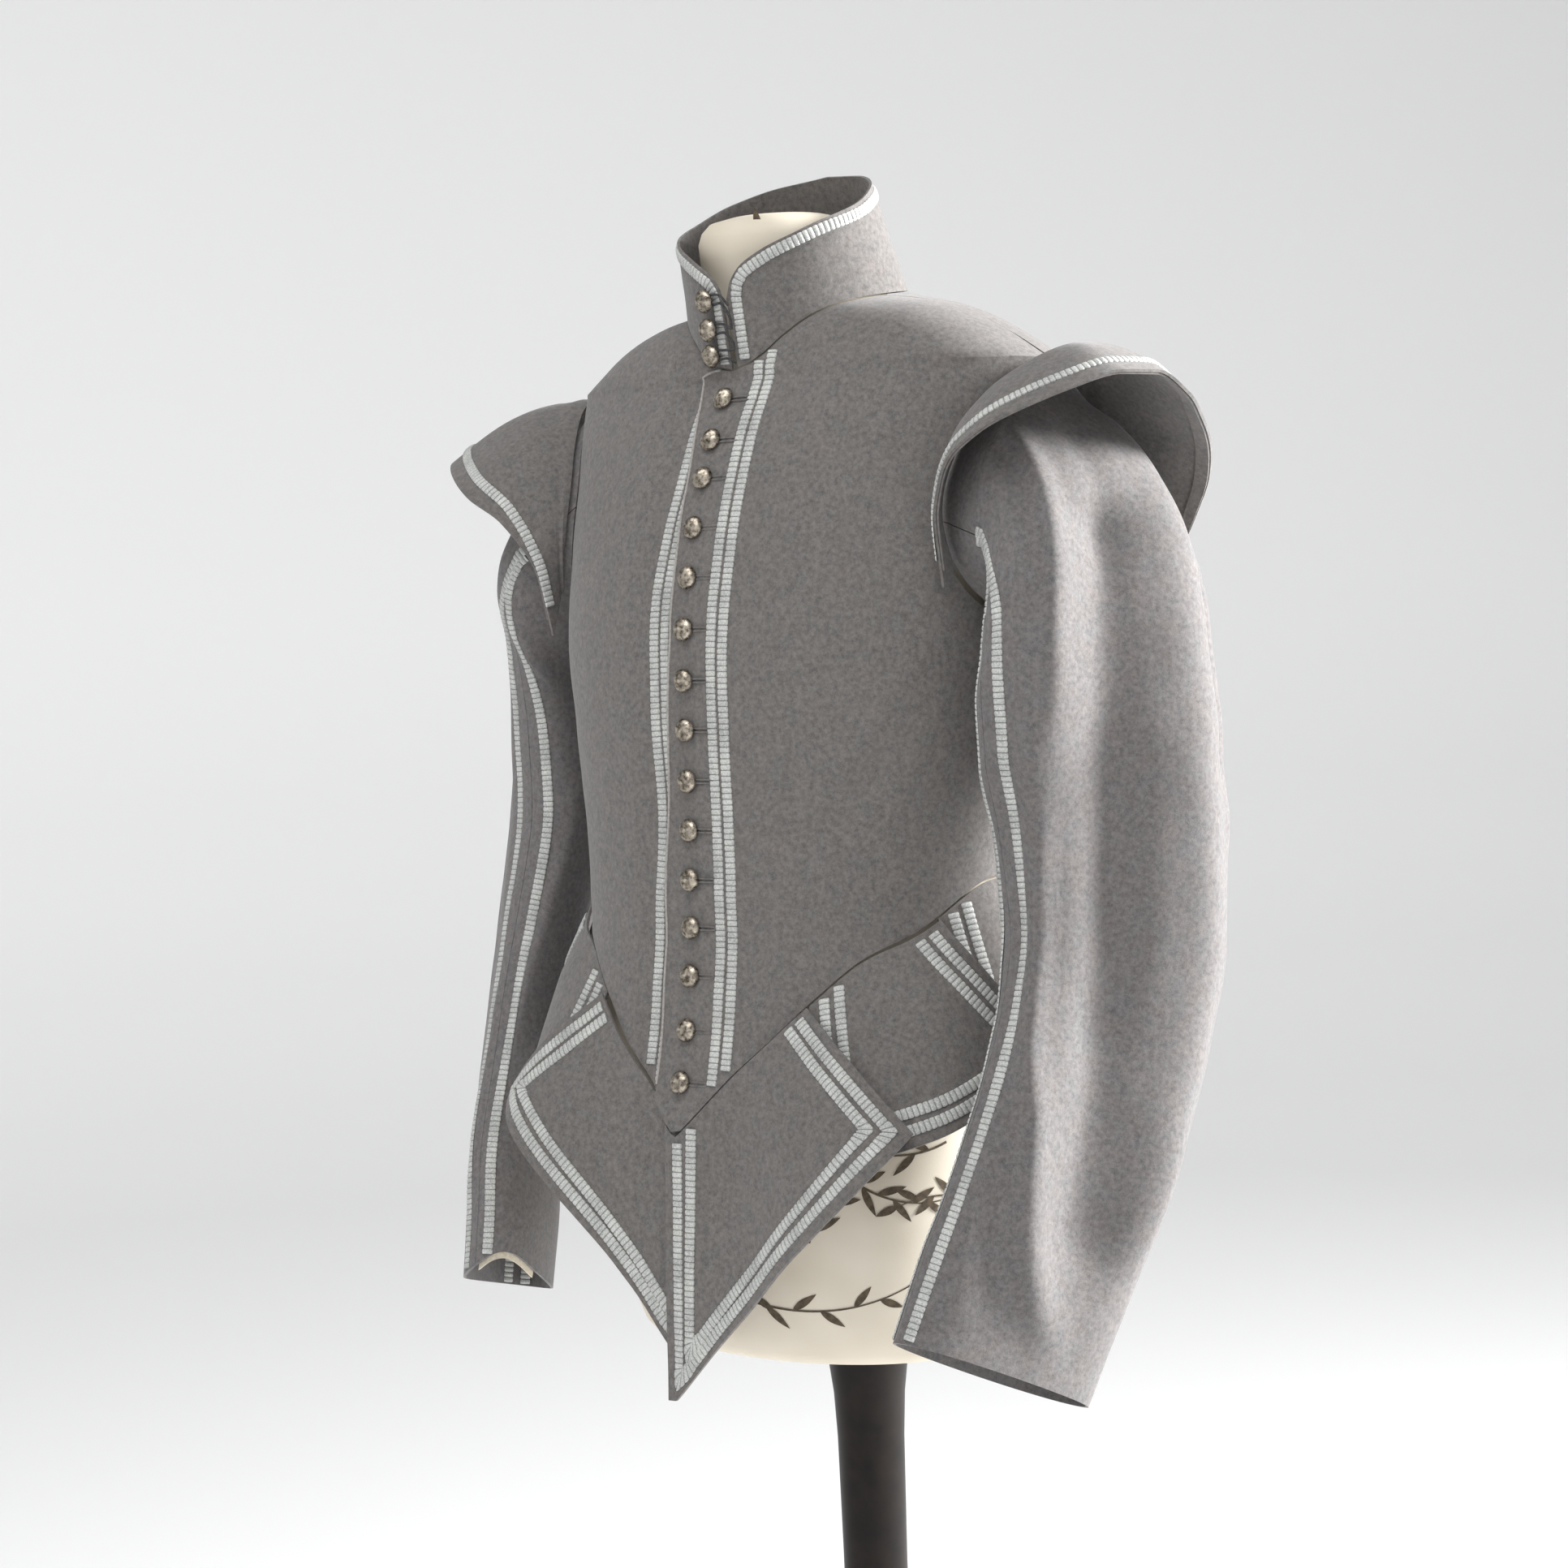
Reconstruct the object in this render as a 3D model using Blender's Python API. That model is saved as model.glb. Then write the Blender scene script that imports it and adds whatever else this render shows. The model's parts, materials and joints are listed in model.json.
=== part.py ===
"""Doublet on a dress form: faceted cloth pieces, braids, buttons, form and stand. Metres, +Z up,
the wearer faces -Y and the wearer's left is +X."""
import bpy
import bmesh
import math
from mathutils import Vector

for old in list(bpy.data.objects):
    bpy.data.objects.remove(old, do_unlink=True)

CLOTH = 0.0018      # cloth thickness
CLEAR = 0.0007      # a braid's height over its cloth
BRAID = 0.0070      # braid width
RIB = 0.0009        # braid thickness
PAIR = 0.0160       # width over two braids
WEB = 0.0005        # thickness of the web between two braids

COLOURS = {"cloth": (0.19, 0.185, 0.18), "braid": (0.58, 0.60, 0.60), "metal": (0.50, 0.42, 0.32),
           "cover": (0.74, 0.68, 0.58), "wood": (0.02, 0.014, 0.012), "lining": (0.66, 0.58, 0.46),
           "cord": (0.06, 0.06, 0.062)}


# ---------------------------------------------------------------- small maths
def mix(a, b, t):
    return a + (b - a) * t


def table(rows, x, i):
    """Column i of a table sorted on its first column, read at x along straight lines."""
    if x <= rows[0][0]:
        return rows[0][i]
    for p, q in zip(rows, rows[1:]):
        if x <= q[0]:
            return mix(p[i], q[i], (x - p[0]) / (q[0] - p[0]))
    return rows[-1][i]


def power(v, n):
    return math.copysign(abs(v) ** n, v)


# ---------------------------------------------------------------- solids from points
def solid(name, points, faces, colour):
    mesh = bpy.data.meshes.new(name)
    mesh.from_pydata([tuple(p) for p in points], [], faces)
    bm = bmesh.new()
    bm.from_mesh(mesh)
    bmesh.ops.recalc_face_normals(bm, faces=bm.faces)
    bmesh.ops.triangulate(bm, faces=[f for f in bm.faces if len(f.verts) > 4])
    bm.to_mesh(mesh)
    bm.free()
    for poly in mesh.polygons:
        poly.use_smooth = True
    mesh.materials.append(material(colour))
    obj = bpy.data.objects.new(name, mesh)
    bpy.context.scene.collection.objects.link(obj)
    return obj


def material(colour):
    mat = bpy.data.materials.get(colour) or bpy.data.materials.new(colour)
    mat.use_nodes = True
    shader = mat.node_tree.nodes["Principled BSDF"]
    shader.inputs["Base Color"].default_value = (*COLOURS[colour], 1)
    shader.inputs["Roughness"].default_value = 0.35 if colour in ("metal", "wood") else 0.9
    shader.inputs["Metallic"].default_value = 1.0 if colour == "metal" else 0.0
    return mat


def normals(grid):
    """One outward normal for every point of a grid, rows from hem to top, columns anticlockwise from above."""
    m, n = len(grid), len(grid[0])
    out = []
    for i in range(m):
        row = []
        for j in range(n):
            up = grid[min(i + 1, m - 1)][j] - grid[max(i - 1, 0)][j]
            along = grid[i][min(j + 1, n - 1)] - grid[i][max(j - 1, 0)]
            row.append(along.cross(up).normalized())
        out.append(row)
    return out


def shell(name, grid, colour="cloth", thick=CLOTH):
    """A cloth panel: the grid is its outside, and its inside is the same points moved in."""
    m, n = len(grid), len(grid[0])
    norm = normals(grid)
    points = [p for row in grid for p in row]
    points += [grid[i][j] - norm[i][j] * thick for i in range(m) for j in range(n)]
    k = m * n
    at = lambda i, j: i * n + j
    faces = []
    for i in range(m - 1):
        for j in range(n - 1):
            q = (at(i, j), at(i, j + 1), at(i + 1, j + 1), at(i + 1, j))
            faces += [q, tuple(v + k for v in reversed(q))]
    rim = [at(0, j) for j in range(n)] + [at(i, n - 1) for i in range(1, m)]
    rim += [at(m - 1, j) for j in range(n - 2, -1, -1)] + [at(i, 0) for i in range(m - 2, 0, -1)]
    for a, b in zip(rim, rim[1:] + rim[:1]):
        faces.append((a, a + k, b + k, b))
    return solid(name, points, faces, colour)


def on_grid(grid, s, t, off=0.0):
    """The point at s across and t up a grid, both 0 to 1 in its columns and rows, moved out; and its normal."""
    m, n = len(grid) - 1, len(grid[0]) - 1
    x, y = min(max(s, 0), 1) * n, min(max(t, 0), 1) * m
    j, i = min(int(x), n - 1), min(int(y), m - 1)
    x, y = x - j, y - i
    a, b, c, d = grid[i][j], grid[i][j + 1], grid[i + 1][j], grid[i + 1][j + 1]
    p = a * ((1 - x) * (1 - y)) + b * (x * (1 - y)) + c * ((1 - x) * y) + d * (x * y)
    nrm = ((b - a) * (1 - y) + (d - c) * y).cross((c - a) * (1 - x) + (d - b) * x).normalized()
    return p + nrm * off, nrm


def ribbon(name, path, pair=False, colour="braid", width=BRAID):
    """A flat braid swept along (point, normal) pairs, mitred at corners; a pair is two ribs on a thin web."""
    h = (PAIR if pair else width) / 2
    if pair:
        g = h - BRAID
        profile = [(-h, 0), (h, 0), (h, RIB), (g, RIB), (g, WEB), (-g, WEB), (-g, RIB), (-h, RIB)]
    else:
        profile = [(-h, 0), (h, 0), (h, RIB), (-h, RIB)]
    points, k = [], len(profile)
    for i, (p, nrm) in enumerate(path):
        before = (p - path[i - 1][0]).normalized() if i else None
        after = (path[i + 1][0] - p).normalized() if i + 1 < len(path) else None
        tangent = ((before or after) + (after or before)).normalized()
        side = nrm.cross(tangent).normalized()
        stretch = 1.0
        if before and after:
            stretch = 1 / max(0.45, math.sqrt(max(0.0, (1 + before.dot(after)) / 2)))
        points += [p + side * (u * stretch) + nrm * v for u, v in profile]
    faces = []
    for i in range(len(path) - 1):
        for j in range(k):
            a, b = i * k + j, i * k + (j + 1) % k
            faces.append((a, b, b + k, a + k))
    last = (len(path) - 1) * k
    if pair:
        caps = [(0, 1, 4, 5), (1, 2, 3, 4), (0, 5, 6, 7)]
    else:
        caps = [(0, 1, 2, 3)]
    faces += [tuple(reversed(c)) for c in caps] + [tuple(v + last for v in c) for c in caps]
    return solid(name, points, faces, colour)


def turned(name, profile, colour, sides=24, centre=(0, 0, 0), axis=(0, 0, 1)):
    """A solid of revolution from (radius, height) pairs that start and end on the axis."""
    axis = Vector(axis).normalized()
    turn = Vector((0, 0, 1)).rotation_difference(axis)
    points, rings = [], []
    for r, z in profile:
        if r < 1e-7:
            rings.append([len(points)])
            points.append(Vector((0, 0, z)))
        else:
            rings.append(list(range(len(points), len(points) + sides)))
            for k in range(sides):
                a = 2 * math.pi * k / sides
                points.append(Vector((r * math.cos(a), r * math.sin(a), z)))
    faces = []
    for a, b in zip(rings, rings[1:]):
        for k in range(sides):
            q = (k + 1) % sides
            if len(a) == 1:
                faces.append((a[0], b[k], b[q]))
            elif len(b) == 1:
                faces.append((a[k], b[0], a[q]))
            else:
                faces.append((a[k], b[k], b[q], a[q]))
    return solid(name, [turn @ p + Vector(centre) for p in points], faces, colour)


# ---------------------------------------------------------------- the body's surface
# height, half width, half depth, y of the middle
BODY = ((0.900, .176, .143, -.043), (0.935, .173, .139, -.045), (0.965, .168, .130, -.045),
        (1.010, .159, .119, -.046), (1.067, .154, .112, -.047), (1.120, .160, .116, -.041),
        (1.190, .170, .122, -.035), (1.245, .177, .125, -.030), (1.310, .180, .120, -.022),
        (1.360, .183, .108, -.016), (1.405, .186, .0858, -.015))
# angle from the front in degrees; heights of the waist seam, the neck seam and the collar's top
SEAMS = ((0, .933, 1.410, 1.466), (10, .968, 1.413, 1.473), (20, .993, 1.420, 1.480),
         (30, 1.016, 1.430, 1.486), (45, 1.043, 1.442, 1.493), (60, 1.057, 1.449, 1.500),
         (90, 1.088, 1.455, 1.512), (120, 1.090, 1.459, 1.527), (150, 1.080, 1.462, 1.537),
         (180, 1.074, 1.464, 1.541))
ARM_Z, ARM_H, ARM_DEG = 1.326, 0.082, 34      # armhole: middle height, half height, half width in degrees


def seam(deg, column):
    return table(SEAMS, abs((deg + 180) % 360 - 180), column)


def body(deg, z, off=0.0):
    a, b, c = (table(BODY, z, i) for i in (1, 2, 3))
    s, k = math.sin(math.radians(deg)), -math.cos(math.radians(deg))
    return Vector(((a + off) * power(s, 0.9), c + (b + off) * power(k, 0.9), z))


def neck(deg, off=0.0):
    s, k = math.sin(math.radians(deg)), -math.cos(math.radians(deg))
    return Vector(((0.074 + off) * s, -0.032 + (0.069 + off) * k, seam(deg, 2)))


LOWER = (0, .10, .25, .42, .60, .80, 1)
ARM_ROWS = 8
UPPER = (.25, .5, .75, 1)


def panel(start, end, back, columns):
    """Rows from the waist seam to the neck seam; start and end are degrees as functions of height."""
    grid = []
    for t in LOWER:
        row = []
        for j in range(columns + 1):
            low = 1.05
            for _ in range(3):
                deg = mix(start(low), end(low), j / columns)
                low = mix(seam(deg, 1), ARM_Z - ARM_H, t)
            row.append(body(deg, low))
        grid.append(row)
    for i in range(1, ARM_ROWS + 1):
        turn = math.pi * i / ARM_ROWS
        z = ARM_Z - ARM_H * math.cos(turn)
        cut = ARM_DEG * math.sin(turn)
        row = []
        for j in range(columns + 1):
            a, b = start(z), end(z)
            a = a + cut if back else a
            b = b - cut
            row.append(body(mix(a, b, j / columns), z))
        grid.append(row)
    for t in UPPER:
        row = []
        for j in range(columns + 1):
            deg = mix(start(1.41), end(1.41), j / columns)
            p = body(deg, ARM_Z + ARM_H)
            q = neck(deg)
            v = p.lerp(q, t)
            v.z += 0.010 * math.sin(math.pi * t) * abs(math.sin(math.radians(deg)))
            row.append(v)
        grid.append(row)
    return grid


# height, degrees of the left front's edge, of the right front's hidden edge
EDGE = ((.93, -5.5, 5.0), (.98, -6.0, 5.0), (1.03, -6.8, 5.0), (1.08, -6.8, 5.0), (1.136, -5.0, 5.0),
        (1.20, -4.0, 4.5), (1.25, -3.0, 4.0), (1.30, -3.0, 4.0), (1.35, -3.4, 3.6), (1.41, -6.0, 3.0))
UNDER = 0.0048      # how far the right front lies inside the left one where they overlap
SIDE = 90 - 0.18


def front_grid(left):
    if left:
        return panel(lambda z: table(EDGE, z, 1), lambda z: SIDE, False, 11)
    grid = panel(lambda z: -table(EDGE, z, 2), lambda z: SIDE, False, 11)
    grid = [[Vector((-p.x, p.y, p.z)) for p in reversed(row)] for row in grid]
    for row in grid:
        for p in row:
            near = min(1.0, max(0.0, (p.x + 0.055) / 0.03))
            p.y += UNDER * near * near * (3 - 2 * near)
    return grid


front_left = front_grid(True)
front_right = front_grid(False)
back_piece = panel(lambda z: 90 + 0.18, lambda z: 270 - 0.18, True, 16)
shell("front_left", front_left)
shell("front_right", front_right)
shell("back", back_piece)

# ---------------------------------------------------------------- the collar
COLLAR_ROUND = 0.014


def collar_point(deg, v):
    low = neck(deg)
    low.z += 0.0014
    s, k = math.sin(math.radians(deg)), -math.cos(math.radians(deg))
    top = Vector((0.068 * s, -0.0525 + 0.0565 * k, seam(deg, 3)))
    from_end = min(deg - COLLAR_ENDS[0], COLLAR_ENDS[1] - deg) * 0.00118
    if from_end < COLLAR_ROUND:
        top.z -= COLLAR_ROUND - math.sqrt(max(0, COLLAR_ROUND ** 2 - (COLLAR_ROUND - from_end) ** 2))
    return low.lerp(top, v)


COLLAR_ENDS = (4.5, 361.0)
COLLAR_COLUMNS = (4.5, 6, 9, 14, 22, 34, 48, 62, 78, 94, 110, 126, 142, 158, 180, 202, 218, 234, 250,
                  266, 282, 298, 312, 326, 338, 347, 353, 358, 361)


def collar_at(deg, v, off):
    """A point on the collar at an angle and a height from 0 to 1, moved out, with its normal."""
    for k in range(len(COLLAR_COLUMNS) - 1):
        a, b = COLLAR_COLUMNS[k], COLLAR_COLUMNS[k + 1]
        if deg <= b:
            break
    v = table(((0, 0), (.3, 1 / 3), (.65, 2 / 3), (1, 1)), v, 1)
    return on_grid(collar, (k + (deg - a) / (b - a)) / (len(COLLAR_COLUMNS) - 1), v, off)


collar = [[collar_point(deg, v) for deg in COLLAR_COLUMNS] for v in (0, .3, .65, 1)]
shell("collar", collar)

# ---------------------------------------------------------------- the wings
# angle over the armhole (0 is the top, minus is the front), x, y, z of the outer edge
WING = ((-125, .164, -.104, 1.268), (-105, .166, -.113, 1.305), (-85, .173, -.119, 1.324),
        (-60, .188, -.126, 1.345), (-42, .212, -.128, 1.360), (-22, .258, -.102, 1.382),
        (-5, .280, -.076, 1.391), (12, .288, -.049, 1.391), (30, .291, -.022, 1.379),
        (50, .284, .006, 1.363), (72, .266, .042, 1.342), (95, .242, .068, 1.317),
        (115, .216, .078, 1.285), (130, .194, .076, 1.262))
RIGHT_DROP = 0.022      # the right wing and sleeve hang this much lower at their outer side


def armhole(turn, off):
    """A point on the armhole's edge; turn in degrees is 0 at the top and minus at the front."""
    r = math.radians(turn)
    return body(90 + ARM_DEG * math.sin(r), ARM_Z + ARM_H * math.cos(r), off)


def wing(side):
    grid = []
    for v in (1, .66, .33, 0):
        row = []
        for turn, x, y, z in WING:
            edge = Vector((x, y, z - (RIGHT_DROP if side < 0 else 0)))
            p = edge.lerp(armhole(turn, 0.0055), 1 - v)
            bulge = 0.012 * math.sin(math.pi * v) * max(0, math.cos(math.radians(turn * 0.7)))
            p.z += bulge
            row.append(Vector((p.x * side, p.y, p.z)))
        grid.append(row)
    if side < 0:
        grid = [list(reversed(row)) for row in grid]
    return grid


wings = {}
for side, label in ((1, "left"), (-1, "right")):
    wings[label] = wing(side)
    shell("wing_" + label, wings[label])
    path = [on_grid(wings[label], i / 26, 0.10, CLEAR * 2.6) for i in range(1, 26)]
    ribbon("wing_braid_" + label, path)

# ---------------------------------------------------------------- the sleeves
# under point x, z; outer point x, z; half width front to back; turn of the front end inward and slope of a
# ring in degrees; y of the middle on the left and on the right
SLEEVE = ((.1905, 1.243, .200, 1.386, .074, 0, 0, -.030, -.028),
          (.194, 1.236, .228, 1.360, .075, 4, 0, -.034, -.027),
          (.196, 1.222, .253, 1.328, .076, 9, 2, -.040, -.022),
          (.197, 1.203, .269, 1.288, .078, 14, 4, -.044, -.010),
          (.197, 1.178, .279, 1.235, .077, 18, 5, -.052, -.006),
          (.197, 1.148, .284, 1.178, .074, 22, 5, -.052, -.010),
          (.201, 1.110, .284, 1.122, .070, 25, 6, -.047, -.020),
          (.208, 1.058, .283, 1.058, .068, 25, 9, -.048, -.034),
          (.212, 1.005, .279, 1.003, .067, 25, 15, -.062, -.050),
          (.212, .950, .276, .947, .066, 25, 19, -.089, -.066),
          (.206, .897, .268, .893, .065, 25, 22, -.116, -.088),
          (.197, .848, .258, .845, .064, 25, 24, -.138, -.104),
          (.191, .806, .250, .804, .063, 25, 25, -.158, -.118))
RIGHT_LIFT = 0.020      # the right sleeve is this much shorter at its hem, and less so higher up
SLEEVE_COLUMNS = 10


def sleeve_ring(row, side, psi, off=0.0):
    """A point of one sleeve ring; psi in degrees is 0 at the front end, 90 outside, 180 behind, 270 inside."""
    xu, zu, xo, zo, half, turn, slope = row[:7]
    y = row[7] if side > 0 else row[8]
    drop = RIGHT_DROP * min(1, max(0, (xo - 0.18) / 0.02)) if side < 0 else 0
    under, outer = Vector((xu, y, zu - drop)), Vector((xo, y, zo - drop))
    mid, reach = under.lerp(outer, 0.5), (outer - under).length / 2
    t, b = math.radians(turn), math.radians(slope * (1 if side > 0 else 0.6))
    front = Vector((-math.sin(t) * math.cos(b), -math.cos(t) * math.cos(b), math.sin(b)))
    across = (outer - under).normalized()
    c, s = math.cos(math.radians(psi)), math.sin(math.radians(psi))
    p = mid + front * ((half + off) * power(c, 0.92)) + across * ((reach + off) * power(s, 0.92))
    return Vector((p.x * side, p.y, p.z))


def sleeve_grid(side, first, last, off=0.0):
    """Rows from hem to armhole; psi runs from first to last."""
    grid = []
    steps = [mix(first, last, j / SLEEVE_COLUMNS) for j in range(SLEEVE_COLUMNS + 1)]
    for row in reversed(SLEEVE):
        lift = RIGHT_LIFT * (1 - min(1, (row[1] / 1.15) ** 6)) if side < 0 else 0
        grid.append([sleeve_ring(row, side, psi, off) + Vector((0, 0, lift)) for psi in steps])
    ring = []
    for psi in steps:
        r = math.radians(psi)
        p = body(90 - (ARM_DEG - 1.2) * math.cos(r), ARM_Z + (ARM_H - .003) * math.sin(r), 0.0008)
        ring.append(Vector((p.x * side, p.y, p.z)))
    grid.append(ring)
    return grid if side > 0 else [list(reversed(row)) for row in grid]


FRONT_SEAM = {"left": -13, "right": 4}     # where each sleeve's front seam lies, in degrees round the sleeve
sleeves = {}
for side, label in ((1, "left"), (-1, "right")):
    seam_at = FRONT_SEAM[label]
    sleeves["upper", label] = sleeve_grid(side, seam_at + 1.7, seam_at + 178.3)
    sleeves["under", label] = sleeve_grid(side, seam_at + 181.7, seam_at + 358.3)
    for half in ("upper", "under"):
        shell("sleeve_%s_%s" % (half, label), sleeves[half, label])
    for kind, half, at in (("outer", "upper", 0.095), ("inner", "under", 1 - 0.095)):
        grid = sleeves[half, label]
        s = at if side > 0 else 1 - at
        rows = len(grid) - 1
        path = [on_grid(grid, s, t / rows, CLEAR * 2.2) for t in (0.02, *range(1, rows - 1))]
        path.append(on_grid(grid, s, (rows - 1.3) / rows, CLEAR * 2.2))
        ribbon("sleeve_braid_%s_%s" % (kind, label), path)

# ---------------------------------------------------------------- the tabs below the waist
# name; degrees of the front and rear edge at the waist; then degrees and drop of the front hem corner, and of
# the rear one
TABS = (("1", -2.0, 29.9, -0.6, .166, 54, .106), ("2", 30.1, 67.9, 37, .114, 92, .118),
        ("3", 68.1, 116.9, 75, .112, 127, .118), ("4", 117.1, 179.8, 125, .114, 178.6, .136))
# degrees from the front, how far a tab stands out for each metre that it drops
FLARE = ((0, .07), (15, .18), (30, .36), (45, .50), (58, .46), (75, .32), (90, .26), (120, .26), (135, .32),
         (180, .34))
TAB_ROWS, TAB_COLUMNS = 5, 8


def smooth(t):
    t = min(1, max(0, t))
    return t * t * (3 - 2 * t)


def skirt(deg, drop, off):
    z = seam(deg, 1)
    p = body(deg, z)
    r = math.radians(deg)
    a, b = table(BODY, z, 1), table(BODY, z, 2)
    out = Vector((math.sin(r) * b, -math.cos(r) * a, 0)).normalized()
    return p + out * (table(FLARE, abs(deg), 1) * drop + off) - Vector((0, 0, drop + 0.0015))


def tab(row, side):
    name, w0, w1, h0, d0, h1, d1 = row
    if name == "1" and side < 0:
        w0, h0, d0 = -4.0, -10.5, .150
    grid = []
    for i in range(TAB_ROWS + 1):
        t = 1 - i / TAB_ROWS
        line = []
        for j in range(TAB_COLUMNS + 1):
            s = j / TAB_COLUMNS
            deg = mix(mix(w0, w1, s), mix(h0, h1, s), t)
            off = (0.0042 + 0.0045 * min(1, 3 * t)) * smooth((s - 0.3) / 0.45)
            if name == "4":
                off *= 1 - smooth((s - 0.5) / 0.3)
            if name == "1" and side < 0:
                off -= 0.0084 * (1 - smooth((deg + 2) / 16))
            sag = (0.012 if side > 0 else -0.004) * 4 * s * (1 - s) if name == "1" else 0
            p = skirt(deg, (mix(d0, d1, s) + sag) * t, off)
            line.append(Vector((p.x * side, p.y, p.z)))
        grid.append(line)
    return grid if side > 0 else [list(reversed(line)) for line in grid]


def tab_path(grid, inset, hang=0.97):
    """Down one edge, along the hem and up the other edge of a tab, the same distance inside its outline."""
    width = (grid[0][-1] - grid[0][0]).length
    top_width = (grid[-1][-1] - grid[-1][0]).length
    tall_a = (grid[-1][0] - grid[0][0]).length
    tall_b = (grid[-1][-1] - grid[0][-1]).length
    s_at = lambda t: inset * 1.12 / mix(width, top_width, t)
    corner_a, corner_b = inset * 1.1 / tall_a, inset * 1.1 / tall_b
    steps = 5
    path = []
    for k in range(steps + 1):
        t = mix(hang, corner_a, k / steps)
        path.append((s_at(t), t))
    along = max(7, int(width / 0.0135))
    for k in range(1, along):
        s = mix(s_at(corner_a), 1 - s_at(corner_b), k / along)
        path.append((s, mix(corner_a, corner_b, k / along)))
    for k in range(steps + 1):
        t = mix(corner_b, hang, k / steps)
        path.append((1 - s_at(t), t))
    return [on_grid(grid, s, t, CLEAR * 3.8) for s, t in path]


tabs = {}
for side, label in ((1, "left"), (-1, "right")):
    for row in TABS:
        grid = tabs[row[0], label] = tab(row, side)
        shell("tab_%s_%s" % (row[0], label), grid)
        ribbon("tab_braid_%s_%s" % (row[0], label), tab_path(grid, 0.0135), pair=True)

# ---------------------------------------------------------------- braids of the fronts and the collar
# height, x of the middle of the braid pair on the left and on the right front
PAIRS = ((.93, .0290, -.0270), (.98, .0285, -.0285), (1.05, .0275, -.0275), (1.13, .0260, -.0235),
         (1.20, .0255, -.0262), (1.26, .0262, -.0262), (1.33, .0270, -.0200), (1.38, .0270, -.0165),
         (1.42, .0270, -.0165))
for label, grid, column in (("left", front_left, 1), ("right", front_right, 2)):
    path = []
    rows = len(grid) - 1
    top = rows - (0.7 if label == "left" else 2.1)
    for step in (0.35, *[k for k in range(1, rows) if k < top], top):
        z = on_grid(grid, 0.1 if label == "left" else 0.9, step / rows)[0].z
        want = table(PAIRS, z, column)
        low, high = 0.0, 1.0
        for _ in range(30):
            middle = (low + high) / 2
            if on_grid(grid, middle, step / rows)[0].x < want:
                low = middle
            else:
                high = middle
        path.append(on_grid(grid, low, step / rows, CLEAR * 1.5))
    ribbon("front_braid_" + label, path, pair=True)

path = [collar_at(9.5, v, CLEAR * 2.0) for v in (.05, .3, .65, .80)]
path += [collar_at(deg, 0.90, CLEAR * 2.0) for deg in (14, *COLLAR_COLUMNS[4:-5], 347, 353)]
path += [collar_at(357.0, v, CLEAR * 2.0) for v in (.80, .65, .3, .05)]
ribbon("collar_braid", path)

# ---------------------------------------------------------------- buttons and loops
BUTTON = ((0, 0), (.0042, 0), (.0070, .0008), (.0075, .0019), (.0068, .0036), (.0046, .0050), (0, .0056))
SHANKED = ((0, 0), (.0016, 0), (.0016, .0042), (.0060, .0044), (.0074, .0052), (.0072, .0064), (.0050, .0081),
           (0, .0089))
HEIGHTS = (1.392, 1.366, 1.342, 1.311, 1.280, 1.248, 1.216, 1.185, 1.153, 1.122, 1.091, 1.061, 1.031, .997,
           .965)
for k, v in enumerate((.73, .41, .13)):
    p, nrm = collar_at(351.8, v, CLEAR)
    turned("button_%02d" % (k + 1), SHANKED, "metal", 10, p, nrm)
for k, z in enumerate(HEIGHTS):
    p = body(0, z)
    slope = (body(0, z + .01) - body(0, z - .01))
    nrm = Vector((0, -slope.z, slope.y)).normalized()
    turned("button_%02d" % (k + 4), BUTTON, "metal", 10, p + nrm * 0.0009, nrm)


def cord(name, points, radius, colour, sides=6):
    rings, faces = [], []
    for i, p in enumerate(points):
        tangent = (points[min(i + 1, len(points) - 1)] - points[max(i - 1, 0)]).normalized()
        side = tangent.cross(Vector((0, -1, 0.02))).normalized()
        up = side.cross(tangent)
        for k in range(sides):
            a = 2 * math.pi * k / sides
            rings.append(p + side * (radius * math.cos(a)) + up * (radius * math.sin(a)))
    for i in range(len(points) - 1):
        for k in range(sides):
            a, b = i * sides + k, i * sides + (k + 1) % sides
            faces.append((a, b, b + sides, a + sides))
    faces += [tuple(range(sides)), tuple(range(len(rings) - sides, len(rings)))]
    return solid(name, rings, faces, colour)


left_edge = [collar_at(5.2, v, 0.0028) for v in (.84, .80, .66, .52, .32, .24, .06)]
loop_path = [left_edge[0][0]]
for k, v in enumerate((.73, .41, .13)):
    p, nrm = collar_at(351.8, v, 0.0031)
    across = Vector((0, 0, 1)).cross(nrm).normalized()
    upward = nrm.cross(across)
    for du, dv in ((.0125, .0026), (.002, .0034), (-.0030, .0022), (-.0040, 0), (-.0030, -.0022),
                   (.002, -.0034), (.0125, -.0026)):
        loop_path.append(p + across * du + upward * dv)
    if k < 2:
        loop_path.append(left_edge[2 + 2 * k][0])
        loop_path.append(left_edge[3 + 2 * k][0])
loop_path.append(left_edge[-1][0])
cord("collar_loops", loop_path, 0.0008, "cord")

# ---------------------------------------------------------------- cuff lining that shows at the right cuff
lining = []
for drop, off in ((.0040, -.0106), (-.010, -.0110)):
    line = []
    for k in range(13):
        psi = mix(-56, 62, k / 12)
        p = sleeve_ring(SLEEVE[-1], -1, psi, off) + Vector((0, 0, 0.0175))
        line.append(p - Vector((0, -0.4 * drop, drop)))
    lining.append(list(reversed(line)))
shell("cuff_lining_right", lining, "lining", 0.0008)

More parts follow.
